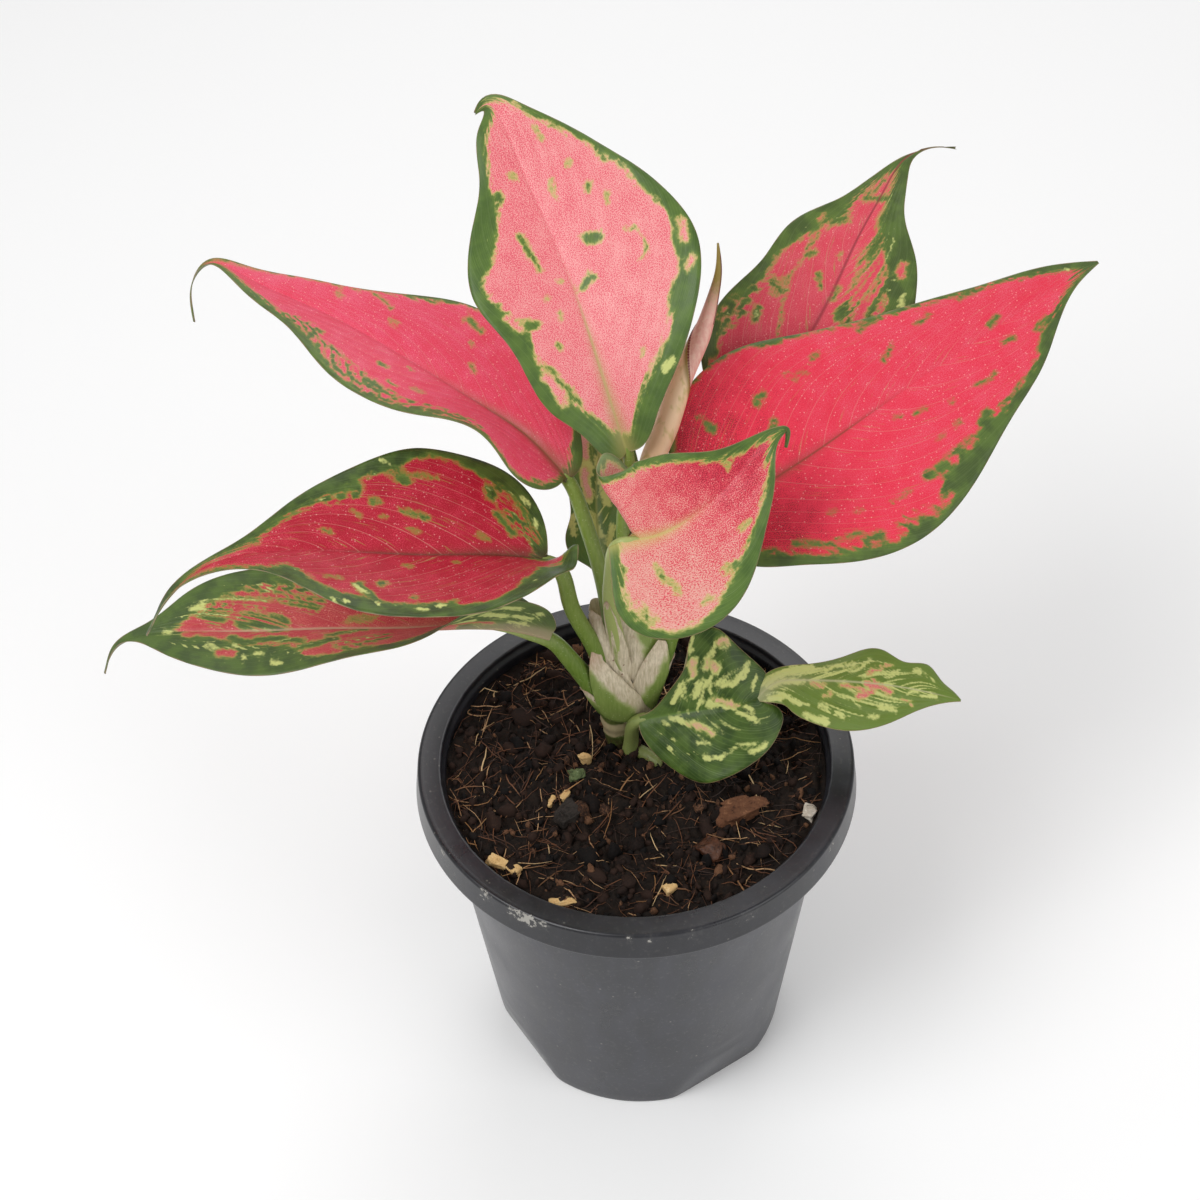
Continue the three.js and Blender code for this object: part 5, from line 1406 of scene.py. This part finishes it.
def pot_plastic_group():
    """Moulded black plastic: fine scuffs round the pot, dust specks of two sizes, painted shade that
    darkens the rim and the skirt above the skirt's foot, and a pale crust where the crust attribute
    lets a broken noise through."""
    tree, w, _, give = shader_group("pot_plastic", {}, ("Color", "Roughness", "Height"))
    place = w.millimetres()
    broad = w.noise(place, 0.035, 3)
    smear = w.noise(w.stretch(place, (1, 1, 0.35)), 0.12, 4, 0.6)
    grain = w.noise(place, 3.0, 3)
    ragged = w.noise(place, 0.55, 5, 0.65)
    skin = w.mix(w.between(smear, 0.35, 0.7), "24252B", "303139")
    skin = w.tint(skin, "8C8880", w.dots(place, 0.16, 0.075, 0.045), 0.6)
    skin = w.tint(skin, "77746E", w.dots(w.stretch(place, (1, 1, 1.4)), 0.41, 0.11, 0.07), 0.35)
    level = w.plus(ragged, w.attribute("crust"), 0.42)
    crust = w.between(level, 0.74, 0.8)
    skin = w.tint(skin, "6E6C69", w.between(level, 0.52, 0.8), 0.35)
    # Painted shade: the same plastic is made darker from 124 mm up, over the rim and the skirt.
    skin = w.tint(skin, "0C0B0B", w.between(w.split(place)[2], 124, 126), 0.5)
    w.feed(give["Color"], w.mix(crust, skin, "A19E97"))
    w.feed(give["Roughness"], w.plus(w.plus(w.plus(0.14, smear, 0.15), broad, 0.2), crust, 0.4))
    w.feed(give["Height"], w.plus(w.product(grain, 0.12), crust, 1.0))
    return tree


def earth_group():
    """Earthy matter in three colours mixed by coarse and fine noise, for soil, bark, wood and stone.
    Grain sets how fine the noise runs, and Lean shifts towards the light tone."""
    given = {"Dark": WHITE, "Middle": WHITE, "Light": WHITE, "Grain": 1.0, "Lean": 0.0}
    tree, w, take, give = shader_group("earth", given, ("Color", "Height"))
    place = w.millimetres()
    coarse = w.noise(place, w.product(take["Grain"], 0.32), 4, 0.6)
    fine = w.noise(place, w.product(take["Grain"], 1.7), 4, 0.65)
    level = w.maths("ADD", w.plus(w.product(coarse, 0.7), fine, 0.6), take["Lean"])
    skin = w.mix(w.between(level, 0.5, 0.68), take["Dark"], take["Middle"])
    w.feed(give["Color"], w.mix(w.between(level, 0.72, 0.95), skin, take["Light"]))
    w.feed(give["Height"], w.plus(w.product(coarse, 0.5), fine, 0.7))
    return tree


def scattered_group():
    """Crumbs or fibres, each with a shade of its own: dark to middle over most, then light."""
    given = {"Dark": WHITE, "Middle": WHITE, "Light": WHITE, "Light share": 0.3}
    tree, w, take, give = shader_group("scattered", given, ("Color", "Height"))
    grain = w.noise(w.millimetres(), 1.4, 3, 0.6)
    shade = w.swayed(w.attribute("shade"), grain, 0.5)
    edge = w.maths("SUBTRACT", 1.0, take["Light share"])
    skin = w.mix(w.between(shade, 0.1, 0.6), take["Dark"], take["Middle"])
    light = w.between(w.maths("SUBTRACT", shade, edge), -0.06, 0.12)
    w.feed(give["Color"], w.mix(light, skin, take["Light"]))
    w.feed(give["Height"], grain)
    return tree


# Putting it together

def make_leaves():
    """Each leaf's blade, stalk, sheath and papery margin, then the stem and the rolled leaf. leaf_low is
    one leaf whose blade has two lobes."""
    skin, stalk_skin = leaf_skin_group(), stalk_skin_group()
    stalk_given = dict(Green="55721F", Pale="A2AC66", Cream="DCCFB6")
    stalk = new_material("stalk_skin", stalk_skin, stalk_given, bump=0.25, depth=0.0004)
    for seed, (name, shape) in enumerate(BLADES.items()):
        given = {key: shape[key.lower()] for key in ("Flesh", "Deep", "Green", "Midrib", "Veins", "Fleck")}
        given.update({key: shape.get(key.lower(), usual) for key, usual in USUAL_SKIN.items()})
        material = new_material(name + "_skin", skin, given, bump=0.25, depth=0.0003, specular=0.3)
        node = "leaf_low" if name.startswith("leaf_low_") else name
        make_blade(name + "_blade", shape, material, 3 * seed + 1, (node,))
    for seed, (name, parts) in enumerate(STALKS.items()):
        make_stalk(name, stalk)
        if "sheath" in parts:
            make_sheath(name, stalk, 40 + seed)
        if name in PAPERS:
            make_paper(name, stalk, 70 + seed)
    stem_given = dict(Green="57602A", Pale="A2AC66", Cream="B5A886")
    stem = new_material("stem_skin", stalk_skin, stem_given, bump=0.4, depth=0.0005)
    make_cane(stem)
    make_old_stub(stem)
    make_spear(new_material("spear_skin", spear_skin_group(), {}, bump=0.2, depth=0.0003, roughness=0.42))


def make_ground():
    """The pot, the soil and what lies on it."""
    make_pot(new_material("pot_plastic", pot_plastic_group(), {}, bump=0.35, depth=0.0004))
    earth, scattered = earth_group(), scattered_group()
    paints = {}
    for paint, (name, *colours, grain, lean, roughness, depth) in EARTHS.items():
        given = dict(zip(("Dark", "Middle", "Light"), colours), Grain=grain, Lean=lean)
        paints[paint] = new_material(name, earth, given, bump=0.6, depth=depth, roughness=roughness,
                                     specular=0.25)
    loose = {}
    for paint, (name, *colours, share, roughness, bump, depth, specular) in LOOSE.items():
        given = {**dict(zip(("Dark", "Middle", "Light"), colours)), "Light share": share}
        loose[paint] = new_material(name, scattered, given, bump, depth, roughness, specular)
    make_soil(paints["soil"])
    make_crumbs("soil_crumbs", loose["crumb"], 1400, (0.45, 1.9), (3, 5), 5)
    make_crumbs("soil_clods", loose["crumb"], 260, (1.1, 3.6), (5, 8), 9)
    make_fibres("soil_fibres", loose["fibre"], 760, (4, 28), (0.1, 0.27), 6)
    make_fibres("soil_straws", loose["straw"], 90, (8, 32), (0.17, 0.34), 14)
    for seed, (name, spec) in enumerate(LUMPS.items()):
        make_lump(name, spec, paints[spec[-1]], 50 + 3 * seed)


# Camera, floor and light

def placed(x_axis, y_axis, z_axis, spot):
    """The matrix of an object that stands at a spot with its three axes along these directions."""
    return Matrix([[x_axis[k], y_axis[k], z_axis[k], spot[k]] for k in range(3)] + [[0, 0, 0, 1]])


def place_camera():
    """The camera looks down at the pot's mouth from the front, turned a little about its own axis."""
    tilt, roll = CAMERA["elevation"], CAMERA["roll"]
    ahead = np.array([0, math.cos(tilt), -math.sin(tilt)])
    right, up = np.array([1.0, 0, 0]), np.array([0, math.sin(tilt), math.cos(tilt)])
    spot = np.array([0, 0, POT["height"] * MM]) - ahead * CAMERA["distance"]
    spot = spot - right * CAMERA["across"] - up * CAMERA["up"]
    data = bpy.data.cameras.new("camera")
    data.sensor_width = CAMERA["sensor"]
    data.lens = CAMERA["focal_pixels"] / CAMERA["frame_pixels"] * CAMERA["sensor"]
    camera = add_object("camera", data)
    camera.matrix_world = placed(math.cos(roll) * right - math.sin(roll) * up,
                                 math.sin(roll) * right + math.cos(roll) * up, -ahead, spot)
    bpy.context.scene.camera = camera


def add_light(name, spot, size, power):
    """A square soft light at a spot, turned to the middle of the plant."""
    data = bpy.data.lights.new(name, "AREA")
    data.size, data.energy = size, power
    way = unit(np.array(spot, float) - STAGE["middle"])
    side = unit(np.cross((0.01, 1, 0.02), way))
    add_object(name, data).matrix_world = placed(side, np.cross(way, side), way, spot)


def set_stage():
    """A pale floor, a white world and three soft lights."""
    half, pale = STAGE["half_floor"], STAGE["floor"]
    mesh = bpy.data.meshes.new("floor")
    corners = [(-half, -half, 0), (half, -half, 0), (half, half, 0), (-half, half, 0)]
    mesh.from_pydata(corners, [], [(0, 1, 2, 3)])
    floor = add_object("floor", mesh)
    material = bpy.data.materials.new("pale_floor")
    material.use_nodes = True
    shader = material.node_tree.nodes["Principled BSDF"]
    shader.inputs["Base Color"].default_value = (pale, pale, pale, 1)
    shader.inputs["Roughness"].default_value = STAGE["roughness"]
    mesh.materials.append(material)
    world = bpy.data.worlds.new("studio")
    world.use_nodes = True
    world.node_tree.nodes["Background"].inputs["Color"].default_value = (1, 1, 1, 1)
    world.node_tree.nodes["Background"].inputs["Strength"].default_value = STAGE["world"]
    bpy.context.scene.world = world
    for name, light in LIGHTS.items():
        add_light(name, *light)
    bpy.context.scene.view_settings.view_transform = "Standard"


place_camera()
set_stage()
make_leaves()
make_ground()
